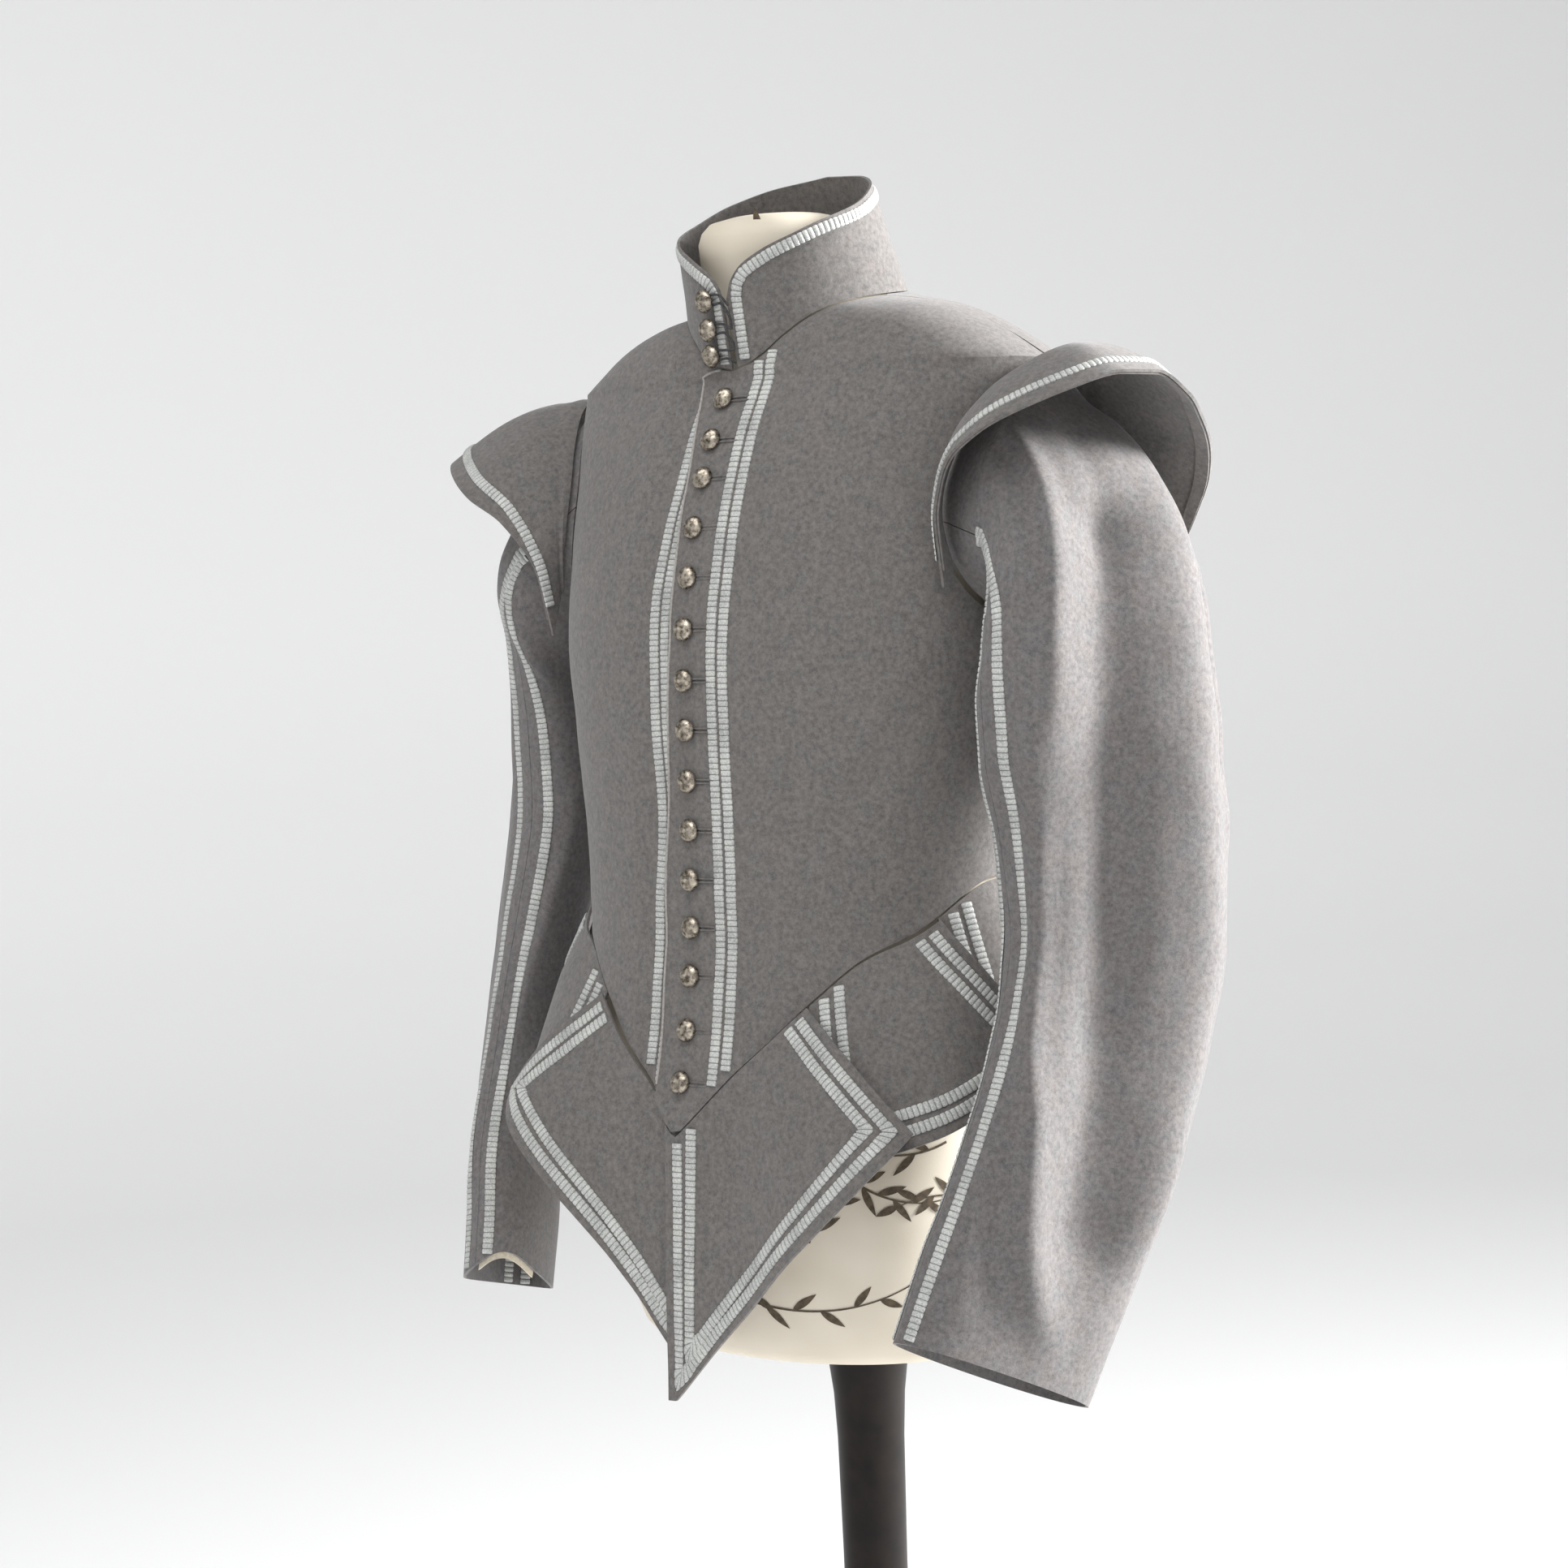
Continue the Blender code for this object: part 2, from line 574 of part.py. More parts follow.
# ---------------------------------------------------------------- dress form, post and base
# height, half width, half depth, y of the middle: below the waist the form is slimmer than the skirts
FORM = ((.781, .124, .090, -.040), (.790, .134, .099, -.040), (.812, .140, .106, -.040),
        (.850, .145, .112, -.040), (.900, .150, .120, -.042), (.960, .154, .118, -.044))
INSIDE = 0.0105
form_rows = []
SIDES = 24
angles = [360 * k / SIDES for k in range(SIDES)]
for z, a, b, c in FORM:
    row = []
    for d in angles:
        s, k = math.sin(math.radians(d)), math.cos(math.radians(d))
        row.append(Vector((a * power(s, .95), c - b * power(k, .95), z)))
    form_rows.append(row)
for z in (1.01, 1.067, 1.12, 1.19, 1.245, 1.31, 1.36, 1.39):
    form_rows.append([body(d, z, -INSIDE) for d in angles])
for t in (.15, .45, .75, 1):
    line = []
    for d in angles:
        p = body(d, 1.400, -INSIDE - .002).lerp(neck(d, -INSIDE), t)
        p.z -= 0.010 * (1 - 0.6 * t)
        line.append(p)
    form_rows.append(line)
for z, a, b, y in ((1.470, .057, .051, -.041), (1.495, .055, .049, -.048), (1.507, .046, .041, -.050)):
    turns = [math.radians(d) for d in angles]
    form_rows.append([Vector((a * math.sin(r), y - b * math.cos(r), z)) for r in turns])
points = [p for row in form_rows for p in row]
faces = []
for i in range(len(form_rows) - 1):
    for j in range(SIDES):
        a, b = i * SIDES + j, i * SIDES + (j + 1) % SIDES
        faces.append((a, b, b + SIDES, a + SIDES))
for row, z in ((0, .7795), (len(form_rows) - 1, 1.511)):
    ring = [row * SIDES + j for j in range(SIDES)]
    mid = len(points)
    centre = sum((points[v] for v in ring), Vector()) / SIDES
    points.append(Vector((centre.x, centre.y, z)))
    faces += [(ring[j], ring[(j + 1) % SIDES], mid) for j in range(SIDES)]
solid("form", points, faces, "cover")
turned("form_post", ((0, .0303), (.030, .0303), (.031, .045), (.022, .070), (.020, .30), (.0215, .62),
                     (.0225, .70), (.0265, .750), (.0285, .7775), (.0275, .7785), (0, .7785)), "wood", 16)
turned("form_base", ((0, 0), (.172, 0), (.175, .004), (.172, .020), (.150, .0285), (.040, .030), (0, .030)),
       "wood", 32)
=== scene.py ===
# %% [markdown]
# # A doublet on a dress form
# A doublet is a close-fitting man's jacket of about 1620: a stiff front that dips to a point, a standing
# collar, small wings over the shoulders and a row of overlapping tabs below the waist. This lesson builds one
# in grey wool, with silvery braid and cast buttons, on a limbless dress form. The plain solid model loads
# first; each cell then puts a finished piece in the place of one or more plain solids.

# %% Load the plain model
import json
import math
import random

import bpy
import bmesh
from mathutils import Matrix, Vector, noise

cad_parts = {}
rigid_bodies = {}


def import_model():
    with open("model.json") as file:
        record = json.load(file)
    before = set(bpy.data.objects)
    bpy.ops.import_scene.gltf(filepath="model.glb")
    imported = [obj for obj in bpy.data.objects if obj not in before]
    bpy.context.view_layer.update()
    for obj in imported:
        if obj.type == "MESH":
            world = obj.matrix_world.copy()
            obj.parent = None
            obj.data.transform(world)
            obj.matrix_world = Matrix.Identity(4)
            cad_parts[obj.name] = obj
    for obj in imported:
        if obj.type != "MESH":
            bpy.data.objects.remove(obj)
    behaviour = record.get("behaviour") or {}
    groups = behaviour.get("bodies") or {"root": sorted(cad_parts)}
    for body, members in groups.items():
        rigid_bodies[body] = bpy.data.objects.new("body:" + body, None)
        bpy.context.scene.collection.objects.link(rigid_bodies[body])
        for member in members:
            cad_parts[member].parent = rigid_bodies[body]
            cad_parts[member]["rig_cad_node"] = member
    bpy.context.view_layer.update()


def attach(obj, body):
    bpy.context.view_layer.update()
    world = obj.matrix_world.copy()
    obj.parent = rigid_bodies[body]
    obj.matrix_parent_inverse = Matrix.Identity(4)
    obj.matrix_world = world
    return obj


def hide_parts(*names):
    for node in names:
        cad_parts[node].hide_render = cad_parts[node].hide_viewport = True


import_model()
random.seed(7)

# %% [markdown]
# ## Shader maths written as expressions
# A material's node tree is a formula. A small class that wraps a socket lets the formula be written as
# Python: `a * 0.5 + b` adds a Math node for each sign. It could all be clicked together in the Shader Editor,
# but text is easier to read back and to change.

# %% A socket that can be added and multiplied
class Socket:
    def __init__(self, tree, link):
        self.tree, self.link = tree, link

    def _math(self, kind, a, b):
        node = self.tree.nodes.new("ShaderNodeMath")
        node.operation = kind
        for place, value in zip(node.inputs, (a, b)):
            if isinstance(value, Socket):
                self.tree.links.new(value.link, place)
            else:
                place.default_value = value
        return Socket(self.tree, node.outputs[0])

    def __add__(self, other):
        return self._math("ADD", self, other)

    def __radd__(self, other):
        return self._math("ADD", other, self)

    def __mul__(self, other):
        return self._math("MULTIPLY", self, other)

    def __rmul__(self, other):
        return self._math("MULTIPLY", other, self)


class Paint:
    """One material: node() adds any node, set() fills the sockets of its Principled shader."""

    def __init__(self, name, **values):
        self.material = bpy.data.materials.new(name)
        self.material.use_nodes = True
        self.tree = self.material.node_tree
        self.shader = self.tree.nodes["Principled BSDF"]
        self.set(**values)

    def node(self, kind, settings=None, output=0, **inputs):
        node = self.tree.nodes.new(kind)
        for key, value in (settings or {}).items():
            if key == "stops":
                ramp = node.color_ramp
                for k, (at, colour) in enumerate(value):
                    stop = ramp.elements[k] if k < 2 else ramp.elements.new(at)
                    stop.position, stop.color = at, (*colour, 1)
            else:
                setattr(node, key, value)
        for key, value in inputs.items():
            self._fill(node.inputs[int(key[1:])] if key[1:].isdigit() else node.inputs[key], value)
        return Socket(self.tree, node.outputs[output])

    def _fill(self, place, value):
        if isinstance(value, Socket):
            self.tree.links.new(value.link, place)
        else:
            place.default_value = value

    def set(self, **values):
        for key, value in values.items():
            self._fill(self.shader.inputs[key.replace("_", " ")], value)

    def noise(self, scale, detail=2.0, rough=0.5, where=None):
        where = where or self.node("ShaderNodeTexCoord", output=3)
        return self.node("ShaderNodeTexNoise", {"noise_dimensions": "3D"}, 0, Vector=where, Scale=scale,
                         Detail=detail, Roughness=rough)

    def ramp(self, value, *stops):
        return self.node("ShaderNodeValToRGB", {"stops": stops}, 0, Fac=value)

    def blend(self, factor, a, b):
        return self.node("ShaderNodeMix", {"data_type": "RGBA"}, 2, i0=factor, i6=a, i7=b)

    def bump(self, height, strength, distance):
        self.set(Normal=self.node("ShaderNodeBump", None, 0, Height=height, Strength=strength,
                                  Distance=distance))


# %% [markdown]
# ## The finishes
# Milled wool is mottled: fibres dyed warm and cool are spun together, so the grey drifts from taupe to
# green-grey over a few millimetres, under a fuzz that softens every highlight. Two noises mix the colours and
# a third, much finer, roughens the surface. The braid is a silvery, tightly bound cord. The buttons are cast
# and worn, and their colour also holds painted highlight and painted shade.

# %% Wool, braid and the small trims
def rgb(r, g, b):
    """A colour as a paint chart gives it, turned to the linear values that a shader wants."""
    return tuple(((v / 255 + 0.055) / 1.055) ** 2.4 if v > 10 else v / 3294 for v in (r, g, b))


def wool(name, warm, cool):
    paint = Paint(name, Roughness=0.92)
    large, small, fibre = paint.noise(90, 3, 0.6), paint.noise(300, 4, 0.72), paint.noise(1700, 2, 0.6)
    drift = paint.ramp(large, (0.36, warm), (0.64, cool))
    fleck = paint.ramp(small * 0.7 + fibre * 0.3, (0.32, rgb(48, 46, 45)), (0.68, rgb(158, 152, 149)))
    paint.set(Base_Color=paint.blend(0.42, drift, fleck))
    paint.bump(small * 0.6 + fibre * 0.4, 0.35, 0.0006)
    paint.shader.inputs["Sheen Weight"].default_value = 0.18
    paint.shader.inputs["Sheen Roughness"].default_value = 0.5
    return paint.material


WOOL = wool("wool", rgb(102, 97, 94), rgb(93, 93, 91))
# The sleeves get a copy of the wool in a cooler, bluer grey: painted light, the cool window light that falls on
# them.
SLEEVE_WOOL_COOL_LIT = wool("sleeve_wool_painted_window_light", rgb(100, 95, 94), rgb(95, 96, 98))

paint = Paint("dark_cord", Roughness=0.85)
paint.set(Base_Color=paint.ramp(paint.noise(700), (0.3, rgb(38, 38, 40)), (0.7, rgb(74, 74, 76))))
CORD = paint.material

paint = Paint("cream_lining", Roughness=0.9)
paint.set(Base_Color=paint.ramp(paint.noise(400), (0.3, rgb(206, 196, 176)), (0.7, rgb(226, 217, 199))))
LINING = paint.material

# Lighter grey for the roll along the left front's edge: a painted highlight where light catches that edge.
paint = Paint("edge_painted_highlight", Roughness=0.9)
paint.set(Base_Color=paint.ramp(paint.noise(600), (0.3, rgb(150, 146, 142)), (0.7, rgb(176, 172, 168))))
EDGE_HIGHLIGHT_WOOL = paint.material
print("finishes so far:", [m.name for m in (WOOL, SLEEVE_WOOL_COOL_LIT, CORD, LINING, EDGE_HIGHLIGHT_WOOL)])

# %% [markdown]
# ## Measures of the pattern
# A garment is a few surfaces that follow the same body. Short tables say how wide and deep the body is at
# each height, and where the seams run round it. `table` reads a value between two rows along a smooth curve,
# so a coarse table still gives a soft silhouette.

# %% Tables and the body's surface
CLOTH, BRAID, RIB = 0.0018, 0.0070, 0.0013
PAIR_HALF = 0.0046          # from the middle of a braid pair to the middle of each braid


def mix(a, b, t):
    return a + (b - a) * t


def smooth(t):
    t = min(1.0, max(0.0, t))
    return t * t * (3 - 2 * t)


def table(rows, x, i):
    """Column i of a table sorted on its first column, read at x along a curve that never overshoots."""
    if x <= rows[0][0]:
        return rows[0][i]
    if x >= rows[-1][0]:
        return rows[-1][i]
    k = next(k for k in range(len(rows) - 1) if x < rows[k + 1][0])

    def rise(a):
        return (rows[a + 1][i] - rows[a][i]) / (rows[a + 1][0] - rows[a][0])

    def slope(a):
        if a == 0 or a == len(rows) - 1:
            return rise(min(a, len(rows) - 2))
        p, q = rise(a - 1), rise(a)
        return 0.0 if p * q <= 0 else 2 * p * q / (p + q)

    h = rows[k + 1][0] - rows[k][0]
    t = (x - rows[k][0]) / h
    a, b = rows[k][i], rows[k + 1][i]
    return (a * (2 * t ** 3 - 3 * t * t + 1) + b * (3 * t * t - 2 * t ** 3)
            + h * slope(k) * (t ** 3 - 2 * t * t + t) + h * slope(k + 1) * (t ** 3 - t * t))


def power(v, n):
    return math.copysign(abs(v) ** n, v)


# height, half width, half depth, y of the middle
BODY = ((0.900, .176, .143, -.043), (0.935, .173, .139, -.045), (0.965, .168, .130, -.045),
        (1.010, .159, .119, -.046), (1.067, .154, .112, -.047), (1.120, .160, .116, -.041),
        (1.190, .170, .122, -.035), (1.245, .177, .125, -.030), (1.310, .180, .120, -.022),
        (1.360, .183, .108, -.016), (1.405, .186, .0858, -.015))
# degrees from the front, height of the waist seam, of the neck seam, of the collar's top
SEAMS = ((0, .933, 1.410, 1.466), (10, .968, 1.413, 1.473), (20, .993, 1.420, 1.480),
         (30, 1.016, 1.430, 1.486), (45, 1.043, 1.442, 1.493), (60, 1.057, 1.449, 1.500),
         (90, 1.088, 1.455, 1.512), (120, 1.090, 1.459, 1.527), (150, 1.080, 1.462, 1.537),
         (180, 1.074, 1.464, 1.541))
ARM_Z, ARM_H, ARM_DEG = 1.326, 0.082, 34      # armhole: middle height, half height, half width in degrees


def seam(deg, column):
    return table(SEAMS, abs((deg + 180) % 360 - 180), column)


def body(deg, z, off=0.0):
    a, b, c = (table(BODY, z, i) for i in (1, 2, 3))
    s, k = math.sin(math.radians(deg)), -math.cos(math.radians(deg))
    return Vector(((a + off) * power(s, 0.9), c + (b + off) * power(k, 0.9), z))


def neck(deg, off=0.0):
    s, k = math.sin(math.radians(deg)), -math.cos(math.radians(deg))
    return Vector(((0.074 + off) * s, -0.032 + (0.069 + off) * k, seam(deg, 2)))


print("waist seam at the side: %.0f mm above the floor" % (1000 * seam(90, 1)))

# %% [markdown]
# ## From rows of points to cloth
# Cloth has two faces and an edge. `cloth` takes a grid of points on the outside, moves each inward by the
# cloth's thickness for the inside, and closes the rim. A crease is no more than the outside points moved
# along their normals before that, so both faces follow it. By hand it would be a plane shaped by proportional
# editing and given a Solidify modifier; rows of points keep neighbouring pieces exactly apart.

# %% Grids, creases and thin shells
def normals(grid):
    m, n = len(grid), len(grid[0])
    out = []
    for i in range(m):
        up = [grid[min(i + 1, m - 1)][j] - grid[max(i - 1, 0)][j] for j in range(n)]
        out.append([(grid[i][min(j + 1, n - 1)] - grid[i][max(j - 1, 0)]).cross(up[j]).normalized()
                    for j in range(n)])
    return out


def shaped(grid, height):
    """The grid with every point moved out by height(column 0..1, row 0..1, point)."""
    m, n = len(grid) - 1, len(grid[0]) - 1
    norm = normals(grid)
    return [[p + norm[i][j] * height(j / n, i / m, p) for j, p in enumerate(row)] for i, row in enumerate(grid)]


def mesh_object(name, points, faces, material, uvs=None, angle=50):
    mesh = bpy.data.meshes.new(name)
    mesh.from_pydata([tuple(p) for p in points], [], faces)
    if uvs:
        layer = mesh.uv_layers.new(name="UVMap")
        for loop in mesh.loops:
            layer.data[loop.index].uv = uvs[loop.vertex_index]
    mesh.materials.append(material)
    obj = bpy.data.objects.new(name, mesh)
    bpy.context.scene.collection.objects.link(obj)
    bm = bmesh.new()
    bm.from_mesh(mesh)
    bmesh.ops.recalc_face_normals(bm, faces=bm.faces)
    for face in bm.faces:
        face.smooth = True
    for edge in bm.edges:
        edge.smooth = len(edge.link_faces) == 2 and edge.calc_face_angle(0) < math.radians(angle)
    bm.to_mesh(mesh)
    bm.free()
    return obj


def cloth(name, grid, material, nodes, thick=CLOTH):
    m, n = len(grid), len(grid[0])
    norm = normals(grid)
    points = [p for row in grid for p in row]
    points += [grid[i][j] - norm[i][j] * thick for i in range(m) for j in range(n)]
    k, faces = m * n, []
    for i in range(m - 1):
        for j in range(n - 1):
            a = i * n + j
            faces += [(a, a + 1, a + n + 1, a + n), (a + n + k, a + n + 1 + k, a + 1 + k, a + k)]
    rim = [*range(n), *(i * n + n - 1 for i in range(1, m))]
    rim += [*((m - 1) * n + j for j in range(n - 2, -1, -1)), *(i * n for i in range(m - 2, 0, -1))]
    faces += [(a, a + k, b + k, b) for a, b in zip(rim, rim[1:] + rim[:1])]
    obj = mesh_object(name + "_piece", points, faces, material)
    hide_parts(*nodes)
    area = sum((grid[i][j + 1] - grid[i][j]).cross(grid[i + 1][j] - grid[i][j]).length
               for i in range(m - 1) for j in range(n - 1))
    print("%-20s %5.0f cm2 of cloth, %6d faces" % (name, area * 1e4, len(faces)))
    return obj, area


def on_grid(grid, s, t, off=0.0):
    """The point at s across and t up a grid, both 0 to 1, moved out along its normal, and the normal."""
    m, n = len(grid) - 1, len(grid[0]) - 1
    x, y = min(max(s, 0), 1) * n, min(max(t, 0), 1) * m
    j, i = min(int(x), n - 1), min(int(y), m - 1)
    x, y = x - j, y - i
    a, b, c, d = grid[i][j], grid[i][j + 1], grid[i + 1][j], grid[i + 1][j + 1]
    p = a * ((1 - x) * (1 - y)) + b * (x * (1 - y)) + c * ((1 - x) * y) + d * (x * y)
    nrm = ((b - a) * (1 - y) + (d - c) * y).cross((c - a) * (1 - x) + (d - b) * x).normalized()
    return p + nrm * off, nrm


def wander(p, size, seed):
    """A soft, irregular height from -1 to 1 that changes over about `size` metres."""
    return noise.noise(p / size + Vector((seed, 2.3 * seed, 0)))


def bell(x, middle, width):
    return math.exp(-((x - middle) / width) ** 2)


# %% [markdown]
# ## Fronts and back
# The fronts run from the dipped waist seam to the neck, round the armholes. The left one laps over the right.
# Padded cloth lies almost flat, yet never perfectly: shallow waves cross it, a few drag lines run from the
# armhole and the waist, and the buttoned edge is pulled a little at each button.

# %% The two fronts and the back
# height, degrees of the left front's edge, of the right front's hidden edge
EDGE = ((.93, -5.5, 5.0), (.98, -6.0, 5.0), (1.03, -6.8, 5.0), (1.08, -6.8, 5.0), (1.136, -5.0, 5.0),
        (1.20, -4.0, 4.5), (1.25, -3.0, 4.0), (1.30, -3.0, 4.0), (1.35, -3.4, 3.6), (1.41, -6.0, 3.0))
UNDER = 0.0048      # how far the right front lies inside the left one where they overlap
SIDE = 90 - 0.18
HEIGHTS = (1.392, 1.366, 1.342, 1.311, 1.280, 1.248, 1.216, 1.185, 1.153, 1.122, 1.091, 1.061, 1.031, .997,
           .965)


def panel(start, end, back, columns):
    """Rows from the waist seam to the neck seam; start and end give the side edges in degrees at a height."""
    grid = []
    for i in range(34):
        row = []
        for j in range(columns + 1):
            low = 1.05
            for _ in range(4):
                deg = mix(start(low), end(low), j / columns)
                low = mix(seam(deg, 1), ARM_Z - ARM_H, i / 34)
            row.append(body(deg, low))
        grid.append(row)
    for i in range(25):
        turn = math.pi * i / 24
        z = ARM_Z - ARM_H * math.cos(turn)
        cut = ARM_DEG * math.sin(turn)
        a, b = start(z) + (cut if back else 0), end(z) - cut
        grid.append([body(mix(a, b, j / columns), z) for j in range(columns + 1)])
    for i in range(1, 15):
        t, row = i / 14, []
        for j in range(columns + 1):
            deg = mix(start(1.41), end(1.41), j / columns)
            p = body(deg, ARM_Z + ARM_H).lerp(neck(deg), t)
            p.z += 0.010 * math.sin(math.pi * t) * abs(math.sin(math.radians(deg)))
            row.append(p)
        grid.append(row)
    return grid


# a drag line on a front or the back: height in mm, width in degrees, then where it starts and ends (degrees, z)
DRAGS = ((0.9, 3.2, (58, 1.225), (34, 1.150)), (0.7, 2.6, (64, 1.205), (46, 1.110)),
         (-0.8, 3.0, (50, 1.175), (26, 1.085)), (0.7, 3.0, (72, 1.100), (52, 1.075)),
         (0.8, 4.0, (118, 1.240), (140, 1.150)), (-0.8, 4.0, (126, 1.190), (155, 1.110)),
         (0.7, 4.0, (168, 1.390), (150, 1.300)), (0.6, 3.0, (98, 1.150), (112, 1.100)))


def drag(deg, z):
    total = 0.0
    for tall, wide, (d0, z0), (d1, z1) in DRAGS:
        t = (z - z0) / (z1 - z0)
        if -0.3 < t < 1.3:
            ends = smooth((t + 0.3) / 0.5) * smooth((1.3 - t) / 0.5)
            total += tall / 1000 * bell(deg, mix(d0, d1, t), wide) * ends
    return total


def body_creases(side):
    def height(s, t, p):
        deg = math.degrees(math.atan2(abs(p.x) / 0.17, -(p.y + 0.04) / 0.12))
        rim = smooth(min(t, 1 - t) / 0.05)
        waves = 0.0007 * wander(p, 0.060, side + 3) + 0.0005 * wander(p, 0.026, side + 5)
        waves += drag(deg, p.z) * (0.7 + 0.3 * side)
        pull = sum(bell(p.z, z, 0.0035) for z in HEIGHTS) * bell(p.x, 0.004, 0.016) * (p.y < -0.05)
        return rim * waves - 0.0004 * pull
    return height


front_left = panel(lambda z: table(EDGE, z, 1), lambda z: SIDE, False, 58)
front_left = shaped(front_left, body_creases(1))
front_right = panel(lambda z: -table(EDGE, z, 2), lambda z: SIDE, False, 58)
front_right = [[Vector((-p.x, p.y, p.z)) for p in reversed(row)] for row in front_right]
for row in front_right:
    for p in row:
        p.y += UNDER * smooth((p.x + 0.055) / 0.03)
front_right = shaped(front_right, lambda s, t, p: body_creases(-1)(s, t, p) * smooth((1 - s) / 0.2))
back_panel = shaped(panel(lambda z: 90 + 0.18, lambda z: 270 - 0.18, True, 84), body_creases(0))

bodies = []
for name, grid in (("front_left", front_left), ("front_right", front_right), ("back", back_panel)):
    bodies.append(cloth(name, grid, WOOL, [name]))

# %% [markdown]
# ## The collar
# A stiff standing collar leans in a little towards its top, and its front corners are rounded. It is one
# strip of cloth between two curves, the neck seam and the top edge.

# %% The standing collar
COLLAR_ENDS = (4.5, 361.0)


def collar_point(deg, v):
    low = neck(deg) + Vector((0, 0, 0.0014))
    s, k = math.sin(math.radians(deg)), -math.cos(math.radians(deg))
    top = Vector((0.068 * s, -0.0525 + 0.0565 * k, seam(deg, 3)))
    from_end = min(deg - COLLAR_ENDS[0], COLLAR_ENDS[1] - deg) * 0.00118
    if from_end < 0.014:
        top.z -= 0.014 - math.sqrt(max(0, 0.014 ** 2 - (0.014 - from_end) ** 2))
    return low.lerp(top, v)


collar = [[collar_point(mix(*COLLAR_ENDS, j / 178), i / 16) for j in range(179)] for i in range(17)]
collar = shaped(collar, lambda s, t, p: 0.0005 * wander(p, 0.022, 9) * smooth(min(t, 1 - t) / 0.2))
bodies.append(cloth("collar", collar, WOOL, ["collar"]))


def collar_at(deg, v, off):
    return on_grid(collar, (deg - COLLAR_ENDS[0]) / (COLLAR_ENDS[1] - COLLAR_ENDS[0]), v, off)


# %% [markdown]
# ## The wings
# A wing is a crescent of cloth caught in the armhole seam. It stands out over the head of the sleeve, and it
# is faced, so its free edge shows two thin layers.

# %% The shoulder wings
# degrees over the armhole (0 is the top, minus is the front), then x, y, z of the free edge
WING = ((-125, .164, -.104, 1.268), (-105, .166, -.113, 1.305), (-85, .173, -.119, 1.324),
        (-60, .188, -.126, 1.345), (-42, .212, -.128, 1.360), (-22, .258, -.102, 1.382),
        (-5, .280, -.076, 1.391), (12, .288, -.049, 1.391), (30, .291, -.022, 1.379), (50, .284, .006, 1.363),
        (72, .266, .042, 1.342), (95, .242, .068, 1.317), (115, .216, .078, 1.285), (130, .194, .076, 1.262))
RIGHT_DROP = 0.022      # the right wing and sleeve hang this much lower at their outer side


def armhole(turn, off):
    r = math.radians(turn)
    return body(90 + ARM_DEG * math.sin(r), ARM_Z + ARM_H * math.cos(r), off)


def wing(side):
    grid = []
    for i in range(19):
        v, row = 1 - i / 18, []
        for j in range(97):
            turn = mix(-125, 130, j / 96)
            x, y, z = (table(WING, turn, k) for k in (1, 2, 3))
            edge = Vector((x, y, z - (RIGHT_DROP if side < 0 else 0)))
            p = edge.lerp(armhole(turn, 0.0055), 1 - v)
            p.z += 0.012 * math.sin(math.pi * v) * max(0, math.cos(math.radians(turn * 0.7)))
            row.append(Vector((p.x * side, p.y, p.z)))
        grid.append(row)
    return grid if side > 0 else [list(reversed(row)) for row in grid]


wings = {}
for side, label in ((1, "left"), (-1, "right")):
    def puff(s, t, p, side=side):
        welt = 0.0009 * bell(t, 0.90, 0.045) - 0.0007 * bell(t, 0.80, 0.035)
        return (welt + 0.0007 * wander(p, 0.030, side + 12) * smooth(min(t, 1 - t) / 0.3))
    wings[label] = shaped(wing(side), puff)
    bodies.append(cloth("wing_" + label, wings[label], WOOL, ["wing_" + label]))
    facing = [[p - nrm * (CLOTH + 0.0004) for p, nrm in
               (on_grid(wings[label], mix(0.02, 0.98, j / 96), mix(0.006, 0.10, i / 3)) for j in range(97))]
              for i in range(4)]
    bodies.append(cloth("wing_facing_" + label, facing, WOOL, [], 0.0012))

# %% [markdown]
# ## The sleeves
# Each sleeve has an upper and an under piece that meet along two seams. Rings from cuff to armhole are
# ellipses that turn and slope as the empty sleeve bends forward. The folds are the character of it: under the
# wing the cloth breaks into three upright ridges, and one of these runs on and wanders across the elbow to
# the back.

# %% Sleeve rings and their folds
# under point x, z; outer point x, z; half width; turn of the front end; slope; y on the left, on the right
SLEEVE = ((.1905, 1.243, .200, 1.386, .074, 0, 0, -.030, -.028),
          (.194, 1.236, .228, 1.360, .075, 4, 0, -.034, -.027),
          (.196, 1.222, .253, 1.328, .076, 9, 2, -.040, -.022),
          (.197, 1.203, .269, 1.288, .078, 14, 4, -.044, -.010),
          (.197, 1.178, .279, 1.235, .077, 18, 5, -.052, -.006),
          (.197, 1.148, .284, 1.178, .074, 22, 5, -.052, -.010),
          (.201, 1.110, .284, 1.122, .070, 25, 6, -.047, -.020),
          (.208, 1.058, .283, 1.058, .068, 25, 9, -.048, -.034),
          (.212, 1.005, .279, 1.003, .067, 25, 15, -.062, -.050),
          (.212, .950, .276, .947, .066, 25, 19, -.089, -.066),
          (.206, .897, .268, .893, .065, 25, 22, -.116, -.088),
          (.197, .848, .258, .845, .064, 25, 24, -.138, -.104),
          (.191, .806, .250, .804, .063, 25, 25, -.158, -.118))
RINGS = tuple((k, *row) for k, row in enumerate(SLEEVE))
RIGHT_LIFT = 0.020      # the right cuff hangs this much higher than the left one
FRONT_SEAM = {"left": -13, "right": 4}
HOLLOW_AT, HOLLOW_WIDE, HOLLOW_TALL = -40, 52, 0.50     # the right hem's hollow, in degrees and in rings
RING_TALL = 0.044       # metres between the last two rings


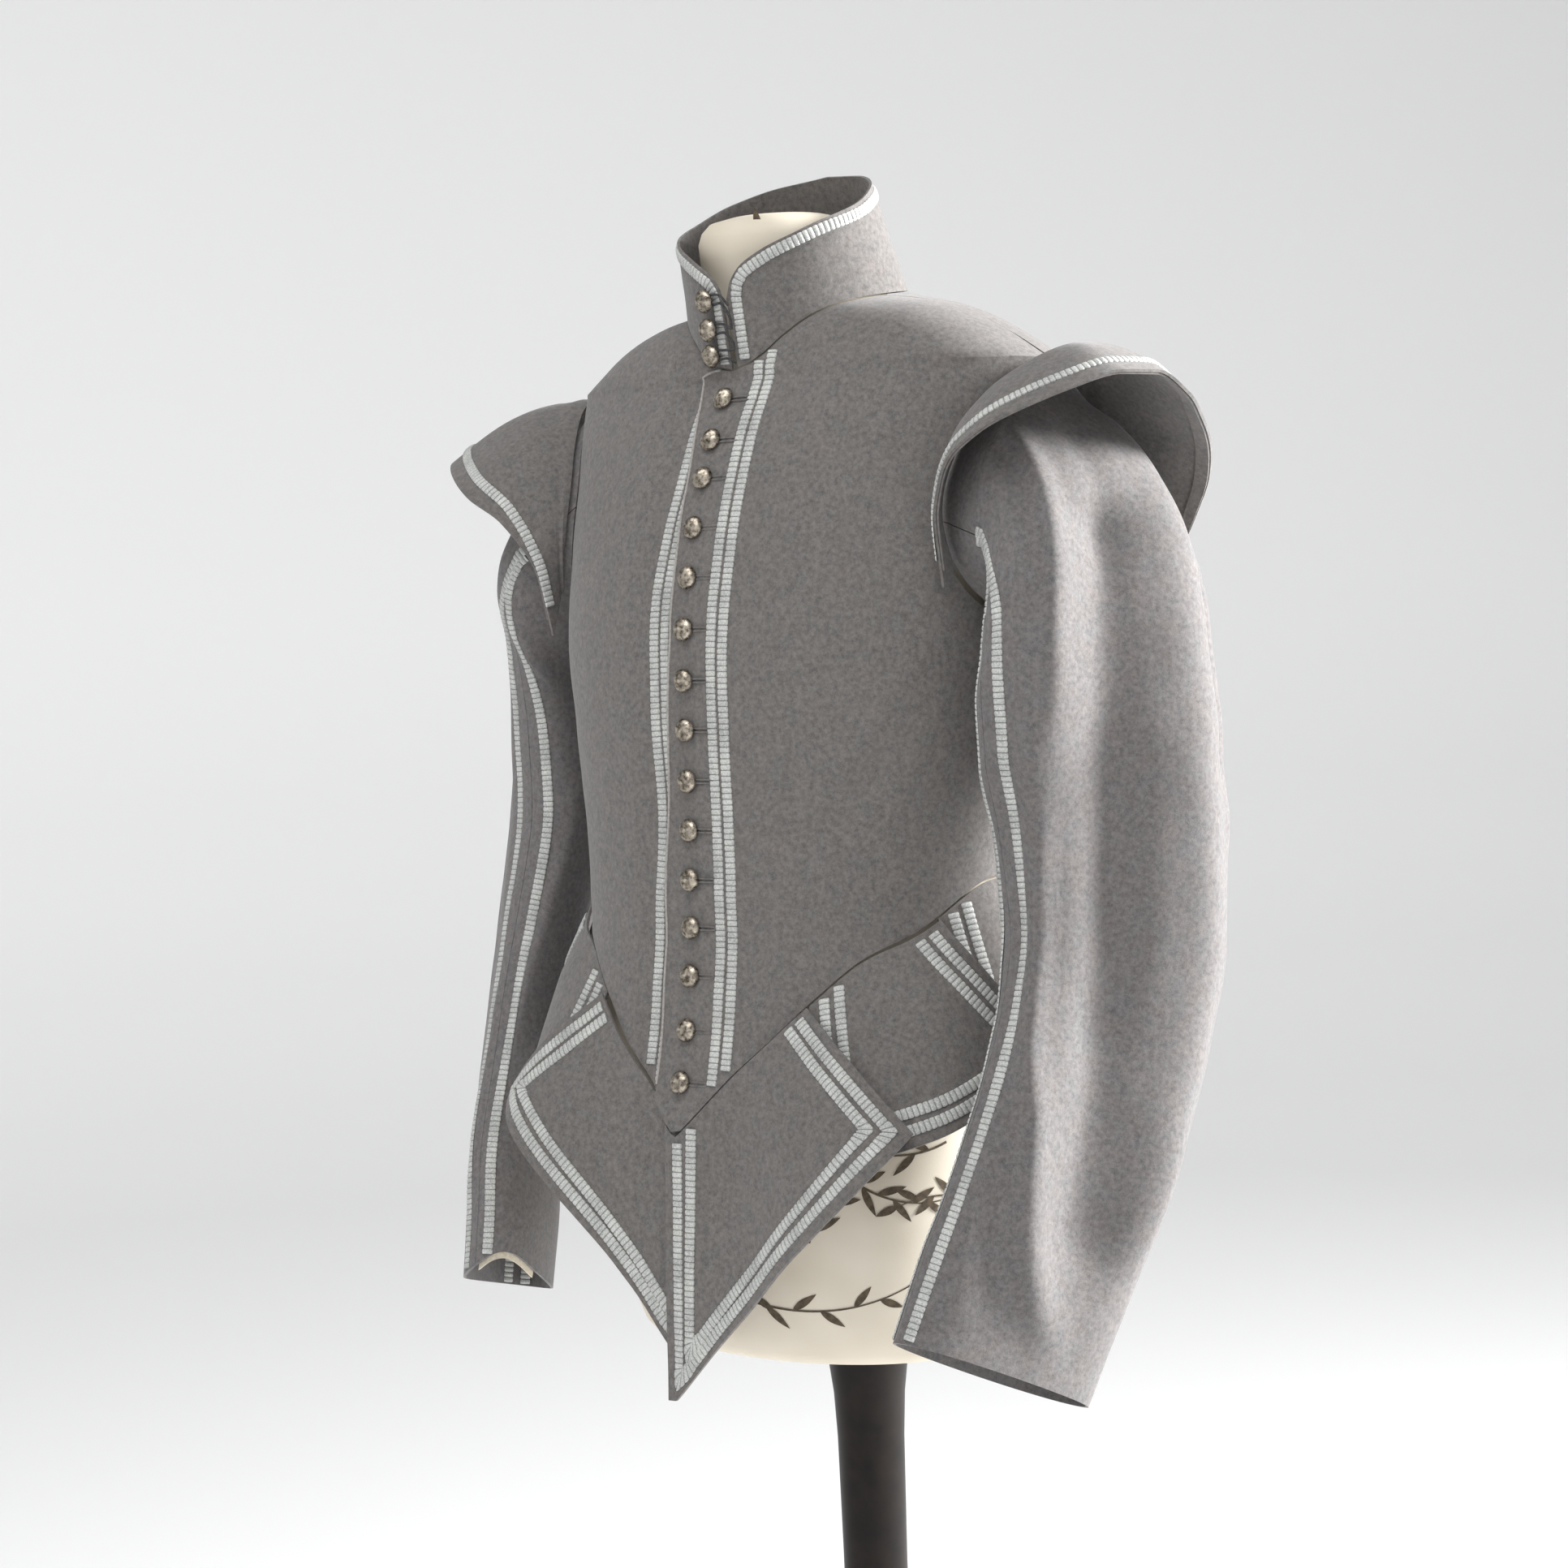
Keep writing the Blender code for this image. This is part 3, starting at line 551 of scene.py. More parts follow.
def sleeve_ring(r, side, psi, off=0.0):
    """A point of ring r, 0 at the top to 12 at the hem; psi: 0 in front, 90 outside, 180 behind, 270 inside."""
    xu, zu, xo, zo, half, turn, slope, y_left, y_right = (table(RINGS, r, k) for k in range(1, 10))
    y = y_left if side > 0 else y_right
    drop = RIGHT_DROP * min(1, max(0, (xo - 0.18) / 0.02)) if side < 0 else 0
    under, outer = Vector((xu, y, zu - drop)), Vector((xo, y, zo - drop))
    middle, reach = under.lerp(outer, 0.5), (outer - under).length / 2
    t, b = math.radians(turn), math.radians(slope * (1 if side > 0 else 0.6))
    front = Vector((-math.sin(t) * math.cos(b), -math.cos(t) * math.cos(b), math.sin(b)))
    c, s = math.cos(math.radians(psi)), math.sin(math.radians(psi))
    outward = (outer - under).normalized()
    p = middle + front * ((half + off) * power(c, 0.92)) + outward * ((reach + off) * power(s, 0.92))
    lift = RIGHT_LIFT * (1 - min(1, (zu / 1.15) ** 6)) if side < 0 else 0
    return Vector((p.x * side, p.y, p.z + lift))


# a fold: height in mm, width in degrees, then (z, degrees round the sleeve) along its crest
LEFT_FOLDS = ((3.5, 8, ((1.37, 22), (1.28, 22), (1.20, 22), (1.12, 18))),
              (-4.5, 8, ((1.37, 37), (1.28, 36), (1.20, 32), (1.12, 22))),
              (9.0, 10, ((1.37, 44), (1.235, 38), (1.15, 26), (1.06, 16), (1.01, 20), (.95, 40), (.90, 56),
                      (.86, 72), (.82, 92))),
              (-17, 19, ((1.31, 74), (1.235, 72), (1.17, 66), (1.06, 60), (.95, 75), (.90, 86), (.86, 98))),
              (7.5, 18, ((1.37, 110), (1.31, 112), (1.235, 112), (1.10, 110), (.95, 118), (.88, 132))),
              (-3.0, 9, ((1.37, 78), (1.31, 77), (1.27, 74))),
              (-4.2, 9, ((1.34, 128), (1.25, 138), (1.15, 148))),
              (3.4, 12, ((1.33, 150), (1.22, 160), (1.10, 158))),
              (2.0, 10, ((.96, 12), (.90, 20), (.84, 40))), (-2.2, 9, ((.96, 28), (.90, 38), (.84, 56))),
              (3.2, 14, ((1.10, 205), (1.02, 215), (.94, 232))),
              (3.4, 12, ((1.22, 300), (1.12, 312), (1.04, 330))),
              (-2.6, 10, ((1.16, 255), (1.04, 262), (.92, 285))),
              (2.8, 12, ((1.06, 176), (.98, 182), (.90, 200))))
RIGHT_FOLDS = ((2.6, 10, ((1.32, 22), (1.25, 26), (1.16, 34), (1.06, 40))),
               (-2.0, 9, ((1.30, 42), (1.22, 46), (1.12, 52))),
               (3.0, 10, ((1.33, 62), (1.24, 66), (1.12, 62), (1.02, 56), (.93, 68), (.86, 86))),
               (3.0, 14, ((1.33, 104), (1.24, 100), (1.12, 96))),
               (-2.2, 10, ((1.30, 84), (1.20, 82), (1.08, 78))),
               (2.2, 12, ((1.08, 120), (.98, 130), (.90, 150))),
               (2.2, 11, ((1.14, 318), (1.05, 330), (.95, 344), (.86, 350))),
               (-1.6, 9, ((1.10, 336), (1.00, 350), (.90, 362))),
               (2.0, 12, ((1.08, 205), (.98, 220), (.90, 236))),
               (1.6, 10, ((1.00, 10), (.92, 16), (.85, 30))),
               (-1.8, 10, ((1.14, 258), (1.02, 266), (.92, 284))))


def sleeve_fold(folds, psi, z):
    total = 0.0
    for tall, wide, crest in folds:
        line = tuple(sorted((zc, deg) for zc, deg in crest))
        low, high = line[0][0], line[-1][0]
        if low - 0.03 < z < high + 0.02:
            fade = smooth((z - low + 0.03) / 0.06) * smooth((high + 0.02 - z) / 0.03)
            turn = (psi - table(line, z, 1) + 180) % 360 - 180
            total += tall / 1000 * fade * (bell(turn, 0, wide) - 0.25 * bell(turn, 0, wide * 2.2))
    return total


def hem_ring(side, psi):
    """The ring where the hem runs: the right cuff is hollowed out in front, and its back wall shows inside."""
    return 12 - (HOLLOW_TALL * bell((psi - HOLLOW_AT + 180) % 360 - 180, 0, HOLLOW_WIDE) if side < 0 else 0)


def sleeve_grid(side, first, last, folds):
    columns = 56
    steps = [mix(first, last, j / columns) for j in range(columns + 1)]
    grid = [[sleeve_ring(hem_ring(side, psi) * (1 - i / 108), side, psi) for psi in steps] for i in range(109)]
    top = []
    for psi in steps:
        r = math.radians(psi)
        p = body(90 - (ARM_DEG - 1.2) * math.cos(r), ARM_Z + (ARM_H - .003) * math.sin(r), 0.0008)
        top.append(Vector((p.x * side, p.y, p.z)))
    grid += [[p.lerp(q, k / 6) for p, q in zip(grid[108], top)] for k in range(1, 7)]
    rows = len(grid) - 1
    if side < 0:
        grid = [list(reversed(row)) for row in grid]

    def height(s, t, p):
        psi = mix(first, last, s if side > 0 else 1 - s)
        near = smooth(min(s, 1 - s) / 0.06) * 0.8 + 0.2
        hem = 0.35 + 0.65 * smooth(t / 0.10)
        clear = smooth((1.0 - t) * rows / 18)
        return near * hem * clear * (sleeve_fold(folds, psi, p.z) + 0.0009 * wander(p, 0.035, side + 20))
    return shaped(grid, height)


sleeves = {}
for side, label, folds in ((1, "left", LEFT_FOLDS), (-1, "right", RIGHT_FOLDS)):
    at = FRONT_SEAM[label]
    for half, first, last in (("upper", at + 0.3, at + 179.7), ("under", at + 180.3, at + 359.7)):
        grid = sleeves[half, label] = sleeve_grid(side, first, last, folds)
        name = "sleeve_%s_%s" % (half, label)
        # the sleeves use the copy of the wool tinted as painted window light
        bodies.append(cloth(name, grid, SLEEVE_WOOL_COOL_LIT, [name]))

# %% [markdown]
# ## The tabs
# Four tabs on each side hang from the waist seam. Each overlaps the one behind it, so its rear edge stands a
# few millimetres further out than its front edge. Their lower corners swing outward, as stiffened cloth does.

# %% Eight overlapping tabs
# name; degrees of the two edges at the waist; degrees and drop of the front hem corner, of the rear one
TABS = (("1", -2.0, 29.9, -0.6, .166, 54, .106), ("2", 30.1, 67.9, 37, .114, 92, .118),
        ("3", 68.1, 116.9, 75, .112, 127, .118), ("4", 117.1, 179.8, 125, .114, 178.6, .136))
# degrees from the front, how far a tab stands out for each metre that it drops
FLARE = ((0, .07), (15, .18), (30, .36), (45, .50), (58, .46), (75, .32), (90, .26), (120, .26), (135, .32),
         (180, .34))


def skirt(deg, drop, off):
    z, r = seam(deg, 1), math.radians(deg)
    a, b = table(BODY, z, 1), table(BODY, z, 2)
    out = Vector((math.sin(r) * b, -math.cos(r) * a, 0)).normalized()
    return body(deg, z) + out * (table(FLARE, abs(deg), 1) * drop + off) - Vector((0, 0, drop + 0.0015))


def tab(row, side):
    name, w0, w1, h0, d0, h1, d1 = row
    if name == "1" and side < 0:
        w0, h0, d0 = -4.0, -10.5, .150
    grid = []
    for i in range(31):
        t, line = 1 - i / 30, []
        for j in range(45):
            s = j / 44
            deg = mix(mix(w0, w1, s), mix(h0, h1, s), t)
            off = (0.0042 + 0.0045 * min(1, 3 * t)) * smooth((s - 0.3) / 0.45)
            if name == "4":
                off *= 1 - smooth((s - 0.5) / 0.3)
            if name == "1" and side < 0:
                off -= 0.0084 * (1 - smooth((deg + 2) / 16))
            sag = (0.012 if side > 0 else -0.004) * 4 * s * (1 - s) if name == "1" else 0
            p = skirt(deg, (mix(d0, d1, s) + sag) * t, off)
            line.append(Vector((p.x * side, p.y, p.z)))
        grid.append(line)
    grid = grid if side > 0 else [list(reversed(line)) for line in grid]
    seed = int(name) * side + 30
    return shaped(grid, lambda s, t, p: 0.0006 * wander(p, 0.035, seed) * smooth((1 - t) / 0.2))


tabs = {}
for side, label in ((1, "left"), (-1, "right")):
    for row in TABS:
        name = "tab_%s_%s" % (row[0], label)
        tabs[row[0], label] = tab(row, side)
        bodies.append(cloth(name, tabs[row[0], label], WOOL, [name]))

# %% [markdown]
# ## Braid
# The trimming is a flat silver braid, 7 mm wide. Close to, it is a row of small raised pads, one every 3.6
# mm, with a dark groove between two of them. `braid` sweeps a domed strip along a path on the cloth and
# presses the strip down at each groove. The UV map runs in metres along it, so that the shader can darken the
# same grooves.

# %% The braid and its shader
PITCH = 0.0036
ACROSS = (-1.0, -0.86, -0.45, 0.0, 0.45, 0.86, 1.0)
PHASES = ((0.0, 0.45, 0.87), (0.16, 0.88, 0.98), (0.5, 1.0, 1.02), (0.84, 0.88, 0.98))   # phase, height, width
PATH_STEP = 0.004
SUNK = 0.0003           # how far the strip's two edges sink into the cloth

paint = Paint("silver_braid", Roughness=0.55)
uv = paint.node("ShaderNodeSeparateXYZ", None, 0, Vector=paint.node("ShaderNodeUVMap"))
groove = paint.node("ShaderNodeMath", {"operation": "PINGPONG"}, 0, i0=uv, i1=PITCH / 2) * (2 / PITCH)
thread = paint.noise(1100, 3, 0.6)
tone = paint.noise(60, 2, 0.5)
silver = paint.ramp(thread * 0.7 + tone * 0.3, (0.32, rgb(142, 144, 142)), (0.62, rgb(214, 215, 211)))
shadow = paint.ramp(groove, (0.0, (0.75, 0.75, 0.75)), (0.30, (0, 0, 0)))
paint.set(Base_Color=paint.blend(shadow, silver, (*rgb(92, 92, 91), 1)))
paint.bump(thread, 0.5, 0.0004)
BRAID_METAL = paint.material


def ring_points(path, step):
    """Rings every `step` along the path and at its corners: distance, point, normal, tangent, side stretch."""
    out, run = [], 0.0
    for i, (p, nrm) in enumerate(path):
        before = (p - path[i - 1][0]).normalized() if i else None
        after = (path[i + 1][0] - p).normalized() if i + 1 < len(path) else None
        tangent = ((before or after) + (after or before)).normalized()
        stretch = 1 / max(0.5, math.sqrt(max(0, (1 + before.dot(after)) / 2))) if before and after else 1.0
        if i:
            run += (p - path[i - 1][0]).length
        out.append((run, p, nrm, tangent, stretch))
    rings = []
    for a, b in zip(out, out[1:]):
        count = max(1, int((b[0] - a[0]) / step))
        for k in range(count + (b is out[-1])):
            t = k / count
            rings.append((mix(a[0], b[0], t), a[1].lerp(b[1], t), a[2].lerp(b[2], t).normalized(),
                          a[3].lerp(b[3], t).normalized(), mix(a[4], b[4], t)))
    return rings


def braid(name, paths, nodes, width=BRAID):
    points, faces, uvs = [], [], []
    for path in paths:
        length = sum((q[0] - p[0]).length for p, q in zip(path, path[1:]))
        marks = [(k + phase[0]) * PITCH for k in range(int(length / PITCH) + 1) for phase in PHASES]
        marks = [mark for mark in marks if mark <= length]
        line, at, first, count = ring_points(path, PATH_STEP), 0, len(points), len(ACROSS) + 2
        for index, mark in enumerate(marks):
            while at + 2 < len(line) and line[at + 1][0] < mark:
                at += 1
            a, b = line[at], line[at + 1]
            t = min(1, max(0, (mark - a[0]) / max(1e-9, b[0] - a[0])))
            p, nrm = a[1].lerp(b[1], t), a[2].lerp(b[2], t).normalized()
            side = nrm.cross(a[3].lerp(b[3], t)).normalized()
            _, tall, broad = PHASES[index % len(PHASES)]
            half = width / 2 * broad * mix(a[4], b[4], t)
            for j, v in enumerate((-1.0, *ACROSS, 1.0)):
                dome = 0.30 + 0.70 * math.sqrt(max(0, 1 - (0.97 * v) ** 2))
                rise = -SUNK if j in (0, count - 1) else RIB * dome * tall
                points.append(p + side * (half * v) + nrm * rise)
                uvs.append((mark, v * width / 2))
        for i in range(len(marks) - 1):
            for j in range(count - 1):
                a = first + i * count + j
                faces.append((a, a + 1, a + count + 1, a + count))
        faces.append(tuple(range(first, first + count)))
        faces.append(tuple(reversed(range(first + (len(marks) - 1) * count, first + len(marks) * count))))
    obj = mesh_object(name + "_silver", points, faces, BRAID_METAL, uvs, 75)
    if nodes:
        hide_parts(*nodes)
    print("%-28s %6d faces" % (name, len(faces)))
    return obj


# height, x of the middle of the braid pair on the left and on the right front
PAIRS = ((.93, .0290, -.0270), (.98, .0285, -.0285), (1.05, .0275, -.0275), (1.13, .0260, -.0235),
         (1.20, .0255, -.0262), (1.26, .0262, -.0262), (1.33, .0270, -.0200), (1.38, .0270, -.0165),
         (1.42, .0270, -.0165))
for label, grid, column, last in (("left", front_left, 1, 0.985), ("right", front_right, 2, 0.90)):
    paths = []
    for shift in (-PAIR_HALF, PAIR_HALF):
        path = []
        for i in range(75):
            t = mix(0.012, last, i / 74)
            z = on_grid(grid, 0.1 if label == "left" else 0.9, t)[0].z
            want = table(PAIRS, z, column) + shift
            low, high = 0.0, 1.0
            for _ in range(24):
                middle = (low + high) / 2
                low, high = (middle, high) if on_grid(grid, middle, t)[0].x < want else (low, middle)
            path.append(on_grid(grid, low, t, 0.0002))
        paths.append(path)
    braid("front_braid_" + label, paths, ["front_braid_" + label])

# %% [markdown]
# One braid follows the collar's ends and top edge and turns its rounded corners. One runs along each wing,
# just inside its free edge, and two run down each sleeve on either side of its front seam, into the cuff.

# %% Braid on the collar, wings and sleeves
path = [collar_at(9.5, v, 0.0003) for v in (.05, .2, .4, .6, .75)]
path += [collar_at(11, .86, 0.0003), *(collar_at(deg, .90, 0.0003) for deg in range(15, 354, 4))]
path += [collar_at(355.5, .86, 0.0003)]
path += [collar_at(357.0, v, 0.0003) for v in (.75, .6, .4, .2, .05)]
braid("collar_braid", [path], ["collar_braid"])

for side, label in ((1, "left"), (-1, "right")):
    grid = wings[label]
    braid("wing_braid_" + label, [[on_grid(grid, mix(0.03, 0.97, k / 90), 0.125, 0.0003) for k in range(91)]],
          ["wing_braid_" + label])
    for kind, half, at in (("outer", "upper", 0.095), ("inner", "under", 0.905)):
        grid = sleeves[half, label]
        path = []
        for k in range(111):
            t = mix(0.004, 0.955, k / 110)
            s = mix(at, round(at), 0.9 * smooth((t - 0.64) / 0.26))
            path.append(on_grid(grid, s if side > 0 else 1 - s, t, 0.0002))
        name = "sleeve_braid_%s_%s" % (kind, label)
        braid(name, [path], [name])


# %% [markdown]
# ## Braid round the tabs
# Two braids run side by side down both edges of a tab and along its hem, and turn its corners with a mitre.

# %% Paths round a tab
def tab_path(grid, inset):
    width, top = (grid[0][-1] - grid[0][0]).length, (grid[-1][-1] - grid[-1][0]).length
    tall_a, tall_b = (grid[-1][0] - grid[0][0]).length, (grid[-1][-1] - grid[0][-1]).length
    across = lambda t: inset * 1.12 / mix(width, top, t)
    a, b = inset * 1.1 / tall_a, inset * 1.1 / tall_b
    spots = [(across(t), t) for t in (mix(0.97, a, k / 16) for k in range(17))]
    spots += [(mix(across(a), 1 - across(b), k / 16), mix(a, b, k / 16)) for k in range(1, 16)]
    spots += [(1 - across(t), t) for t in (mix(b, 0.97, k / 16) for k in range(17))]
    return [on_grid(grid, s, t, 0.0003) for s, t in spots]


for (number, label), grid in tabs.items():
    name = "tab_braid_%s_%s" % (number, label)
    braid(name, [tab_path(grid, 0.0135 - PAIR_HALF), tab_path(grid, 0.0135 + PAIR_HALF)], [name])

# %% [markdown]
# ## Buttons
# A cast button is a dome with fine flutes that run from its rim towards a smooth centre. One is modelled from
# a circle: extruded and scaled up the dome, ring by ring, then every second spoke is pressed in. Each button
# on the garment is a copy with a mesh of its own, set on the cloth and turned a little differently.

# %% Antique brass, and one fluted button
paint = Paint("antique_brass", Metallic=1.0, Roughness=0.36)
wear_and_painted_light = paint.noise(420, 3, 0.6)
# The base colour runs at random from dark brown to pale cream. It is partly wear and partly painted light: the
# two ends are a highlight's colour and a shaded side's colour.
paint.set(Base_Color=paint.ramp(wear_and_painted_light, (0.34, rgb(96, 86, 76)), (0.60, rgb(208, 198, 182))))
paint.set(Roughness=wear_and_painted_light * 0.35 + 0.20)
BRASS = paint.material
SPOKES = 76
DOME = ((.0070, .0004), (.0075, .0012), (.0074, .0020), (.0066, .0034), (.0052, .0046), (.0036, .0053),
        (.0022, .0057), (.0010, .0059))


def turned(name, profile, sides, material):
    """A solid of revolution: a filled circle, extruded and scaled for each (radius, height) of the profile."""
    bpy.ops.mesh.primitive_circle_add(vertices=sides, radius=profile[0][0], fill_type="NGON",
                                      location=(0, 0, profile[0][1]))
    obj = bpy.context.object
    obj.name = obj.data.name = name
    bpy.ops.object.transform_apply(location=True)
    bpy.ops.object.mode_set(mode="EDIT")
    bpy.ops.mesh.select_all(action="SELECT")
    for (r0, z0), (r1, z1) in zip(profile, profile[1:]):
        bpy.ops.mesh.extrude_region_move(TRANSFORM_OT_translate={"value": (0, 0, z1 - z0)})
        bpy.ops.transform.resize(value=(r1 / r0, r1 / r0, 1), center_override=(0, 0, z1))
    bpy.ops.mesh.select_all(action="SELECT")
    bpy.ops.mesh.normals_make_consistent(inside=False)
    bpy.ops.object.mode_set(mode="OBJECT")
    obj.data.materials.append(material)
    bpy.ops.object.shade_smooth_by_angle(angle=math.radians(35))
    return obj


master = turned("button_master", DOME, SPOKES, BRASS)
bpy.ops.object.mode_set(mode="EDIT")
bpy.ops.mesh.select_all(action="DESELECT")
bm = bmesh.from_edit_mesh(master.data)
for v in bm.verts:
    spoke = round(math.atan2(v.co.y, v.co.x) / (2 * math.pi) * SPOKES)
    v.select = spoke % 2 == 0 and 0.0020 < v.co.to_2d().length and v.co.z > 0.0010
bmesh.update_edit_mesh(master.data)
bpy.ops.transform.resize(value=(0.90, 0.90, 0.90), center_override=(0, 0, 0))
bpy.ops.object.mode_set(mode="OBJECT")
print("one button:", len(master.data.polygons), "faces")

# %% [markdown]
# Three buttons close the collar on short shanks, and fifteen run down the front. `set_button` turns the copy
# so that its back lies on the cloth.

# %% Eighteen buttons
def set_button(number, place, normal, lift):
    obj = bpy.data.objects.new("brass_button_%02d" % number, master.data.copy())
    bpy.context.scene.collection.objects.link(obj)
    turn = Vector((0, 0, 1)).rotation_difference(normal).to_matrix().to_4x4()
    spin = Matrix.Rotation(random.uniform(0, 6.28), 4, "Z")
    obj.data.transform(Matrix.Translation(place + normal * lift) @ turn @ spin)
    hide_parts("button_%02d" % number)


for k, v in enumerate((.73, .41, .13)):
    place, normal = collar_at(351.8, v, 0.0)
    set_button(k + 1, place, normal, 0.0042)
for k, z in enumerate(HEIGHTS):
    slope = body(0, z + .01) - body(0, z - .01)
    tilt = Vector((random.uniform(-.06, .06), 0, 0))
    normal = (Vector((0, -slope.z, slope.y)).normalized() + tilt).normalized()
    set_button(k + 4, body(0, z), normal, 0.0006)
bpy.data.objects.remove(master)
print("buttons set:", len(HEIGHTS) + 3)


# %% [markdown]
# ## Cord loops, buttonholes and the front edge
# Round tubes are swept along paths: the dark cord that loops over the collar buttons, the stitched rim of
# each buttonhole, and a fine roll along the edge of the left front, coloured a lighter grey as a painted
# highlight.

# %% Tubes along a path
def tube(name, lines, radius, material, sides=8, flat=1.0):
    points, faces = [], []
    for line, facing in lines:
        first = len(points)
        for i, p in enumerate(line):
            tangent = (line[min(i + 1, len(line) - 1)] - line[max(i - 1, 0)]).normalized()
            side = tangent.cross(facing).normalized()
            up = side.cross(tangent)
            for k in range(sides):
                a = 2 * math.pi * k / sides
                points.append(p + side * (radius * math.cos(a)) + up * (radius * flat * math.sin(a)))
        for i in range(len(line) - 1):
            for k in range(sides):
                a, b = first + i * sides + k, first + i * sides + (k + 1) % sides
                faces.append((a, b, b + sides, a + sides))
        faces += [tuple(range(first, first + sides)), tuple(range(len(points) - sides, len(points)))]
    return mesh_object(name, points, faces, material, None, 60)


def curved(points, count):
    """The points joined by a smooth curve, read at `count` even steps."""
    rows = [(k, p.x, p.y, p.z) for k, p in enumerate(points)]
    steps = (mix(0, len(points) - 1, k / (count - 1)) for k in range(count))
    return [Vector(table(rows, t, i) for i in (1, 2, 3)) for t in steps]


# one loop round a button's shank: along the collar and up it
LOOP = ((.0125, .0026), (.002, .0034), (-.0030, .0022), (-.0040, 0), (-.0030, -.0022), (.002, -.0034),
        (.0125, -.0026))
edge = [collar_at(5.2, v, 0.0028)[0] for v in (.84, .80, .66, .52, .32, .24, .06)]
loop = [edge[0]]
for k, v in enumerate((.73, .41, .13)):
    p, nrm = collar_at(351.8, v, 0.0031)
    across = Vector((0, 0, 1)).cross(nrm).normalized()
    upward = nrm.cross(across)
    for du, dv in LOOP:
        loop.append(p + across * du + upward * dv)
    loop += [edge[2 + 2 * k], edge[3 + 2 * k]] if k < 2 else [edge[6]]
route = curved(loop, 130)
print("collar cord: %.3f m long" % sum((b - a).length for a, b in zip(route, route[1:])))
loops = tube("collar_cord", [(route, Vector((0, -1, 0.02)))], 0.00085, CORD)
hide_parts("collar_loops")

holes = []
for z in HEIGHTS:
    line = []
    for k in range(33):
        a = 2 * math.pi * k / 32
        x = 0.0092 + 0.0072 * power(math.cos(a), 0.6)
        p = body(math.degrees(math.asin(x / 0.17)), z + 0.0011 * power(math.sin(a), 0.6))
        line.append(p + Vector((0, -0.0002, 0)))
    holes.append((line, Vector((0, -1, 0.05))))
stitched = tube("buttonholes", holes, 0.00055, WOOL, 6)

rows = len(front_left) - 1
line = [front_left[i][0] + Vector((0.0002, -0.0002, 0)) for i in range(1, rows)]
# The roll takes the lighter grey: a painted highlight along the left front's edge.
roll = tube("front_edge_roll", [(line, Vector((0, -1, 0)))], 0.00085, EDGE_HIGHLIGHT_WOOL, 8)
print("loops, %d buttonholes and the edge roll" % len(holes))

# %% [markdown]
# ## The lining
# The right cuff is hollowed out in front, where a strip of its cream lining rolls over the edge. Behind it
# the inside of the back wall shows, with the ends of two braids.

# %% Cuff lining
lining = []
for i in range(7):
    rise = mix(-.0042, .0130, i / 6)
    line = []
    for k in range(49):
        psi = mix(-84, 0, k / 48)
        p = sleeve_ring(hem_ring(-1, psi) - max(0, rise) / RING_TALL, -1, psi, -0.0034)
        line.append(p + Vector((0, 0.3 * min(0, rise), min(0, rise))))
    lining.append(list(reversed(line)))
bodies.append(cloth("cuff_lining_right", lining, LINING, ["cuff_lining_right"], 0.0008))
for name, psi in (("cuff_braid_outer", 130), ("cuff_braid_inner", 157)):
    path = []
    for r in (11.97, 11.80, 11.60, 11.30):
        near, inside = sleeve_ring(r, -1, psi, -0.0026), sleeve_ring(r, -1, psi, -0.0076)
        path.append((near, (inside - near).normalized()))
    braid(name, [path], [])

# %% [markdown]
# ## The dress form
# The form is a smooth, limbless torso covered in cream cotton and closed at the neck. Under the tabs and
# inside the collar its cover shows, printed with thin brown stems that carry slim, pointed leaves.

# %% The torso of the form
FORM = ((.7795, .060, .045, -.040), (.780, .112, .080, -.040), (.783, .126, .092, -.040),
        (.790, .134, .099, -.040), (.812, .140, .106, -.040), (.850, .145, .112, -.040),
        (.900, .150, .120, -.042), (.960, .154, .118, -.044))
INSIDE = 0.0105         # from the garment's outside to the form
ROUND = 0.135           # the form's mean radius where its cover shows
ANGLES = [360 * k / 96 for k in range(97)]
LOW = (.7795, .780, .783, .786, .790, .800, .812, .83, .85, .875, .90, .93, .96)
HIGH = (1.01, 1.04, 1.067, 1.10, 1.14, 1.19, 1.245, 1.31, 1.36, 1.39)
# height, half width, half depth and y of the middle, over the covered neck
NECK_CAP = ((1.470, .057, .051, -.041), (1.483, .056, .050, -.045), (1.495, .055, .049, -.048),
            (1.502, .052, .046, -.049), (1.507, .046, .041, -.050), (1.510, .034, .030, -.050),
            (1.511, .015, .013, -.050))


def form_low(deg, z, off=0.0):
    a, b, c = (table(FORM, z, i) for i in (1, 2, 3))
    s, k = math.sin(math.radians(deg)), math.cos(math.radians(deg))
    return Vector(((a + off) * power(s, .95), c - (b + off) * power(k, .95), z))


rings = [[form_low(d, z) for d in ANGLES] for z in LOW]
rings += [[body(d, z, -INSIDE) for d in ANGLES] for z in HIGH]
for t in (.15, .3, .45, .6, .75, .9, 1):
    line = [body(d, 1.400, -INSIDE - .002).lerp(neck(d, -INSIDE), t) for d in ANGLES]
    rings.append([p - Vector((0, 0, 0.010 * (1 - 0.6 * t))) for p in line])
for z, a, b, y in NECK_CAP:
    turns = [math.radians(d) for d in ANGLES]
    rings.append([Vector((a * math.sin(turn), y - b * math.cos(turn), z)) for turn in turns])
points = [p for row in rings for p in row[:-1]]
faces = []
for i in range(len(rings) - 1):
    for j in range(96):
        a, b = i * 96 + j, i * 96 + (j + 1) % 96
        faces.append((a, b, b + 96, a + 96))
faces += [tuple(range(96)), tuple(range(len(points) - 96, len(points)))]
paint = Paint("form_cover", Roughness=0.72)
weave = paint.noise(1400, 2, 0.5)
age = paint.noise(14, 2, 0.5)
paint.set(Base_Color=paint.ramp(age, (0.35, rgb(212, 202, 184)), (0.65, rgb(228, 219, 203))))
paint.bump(weave, 0.25, 0.0003)
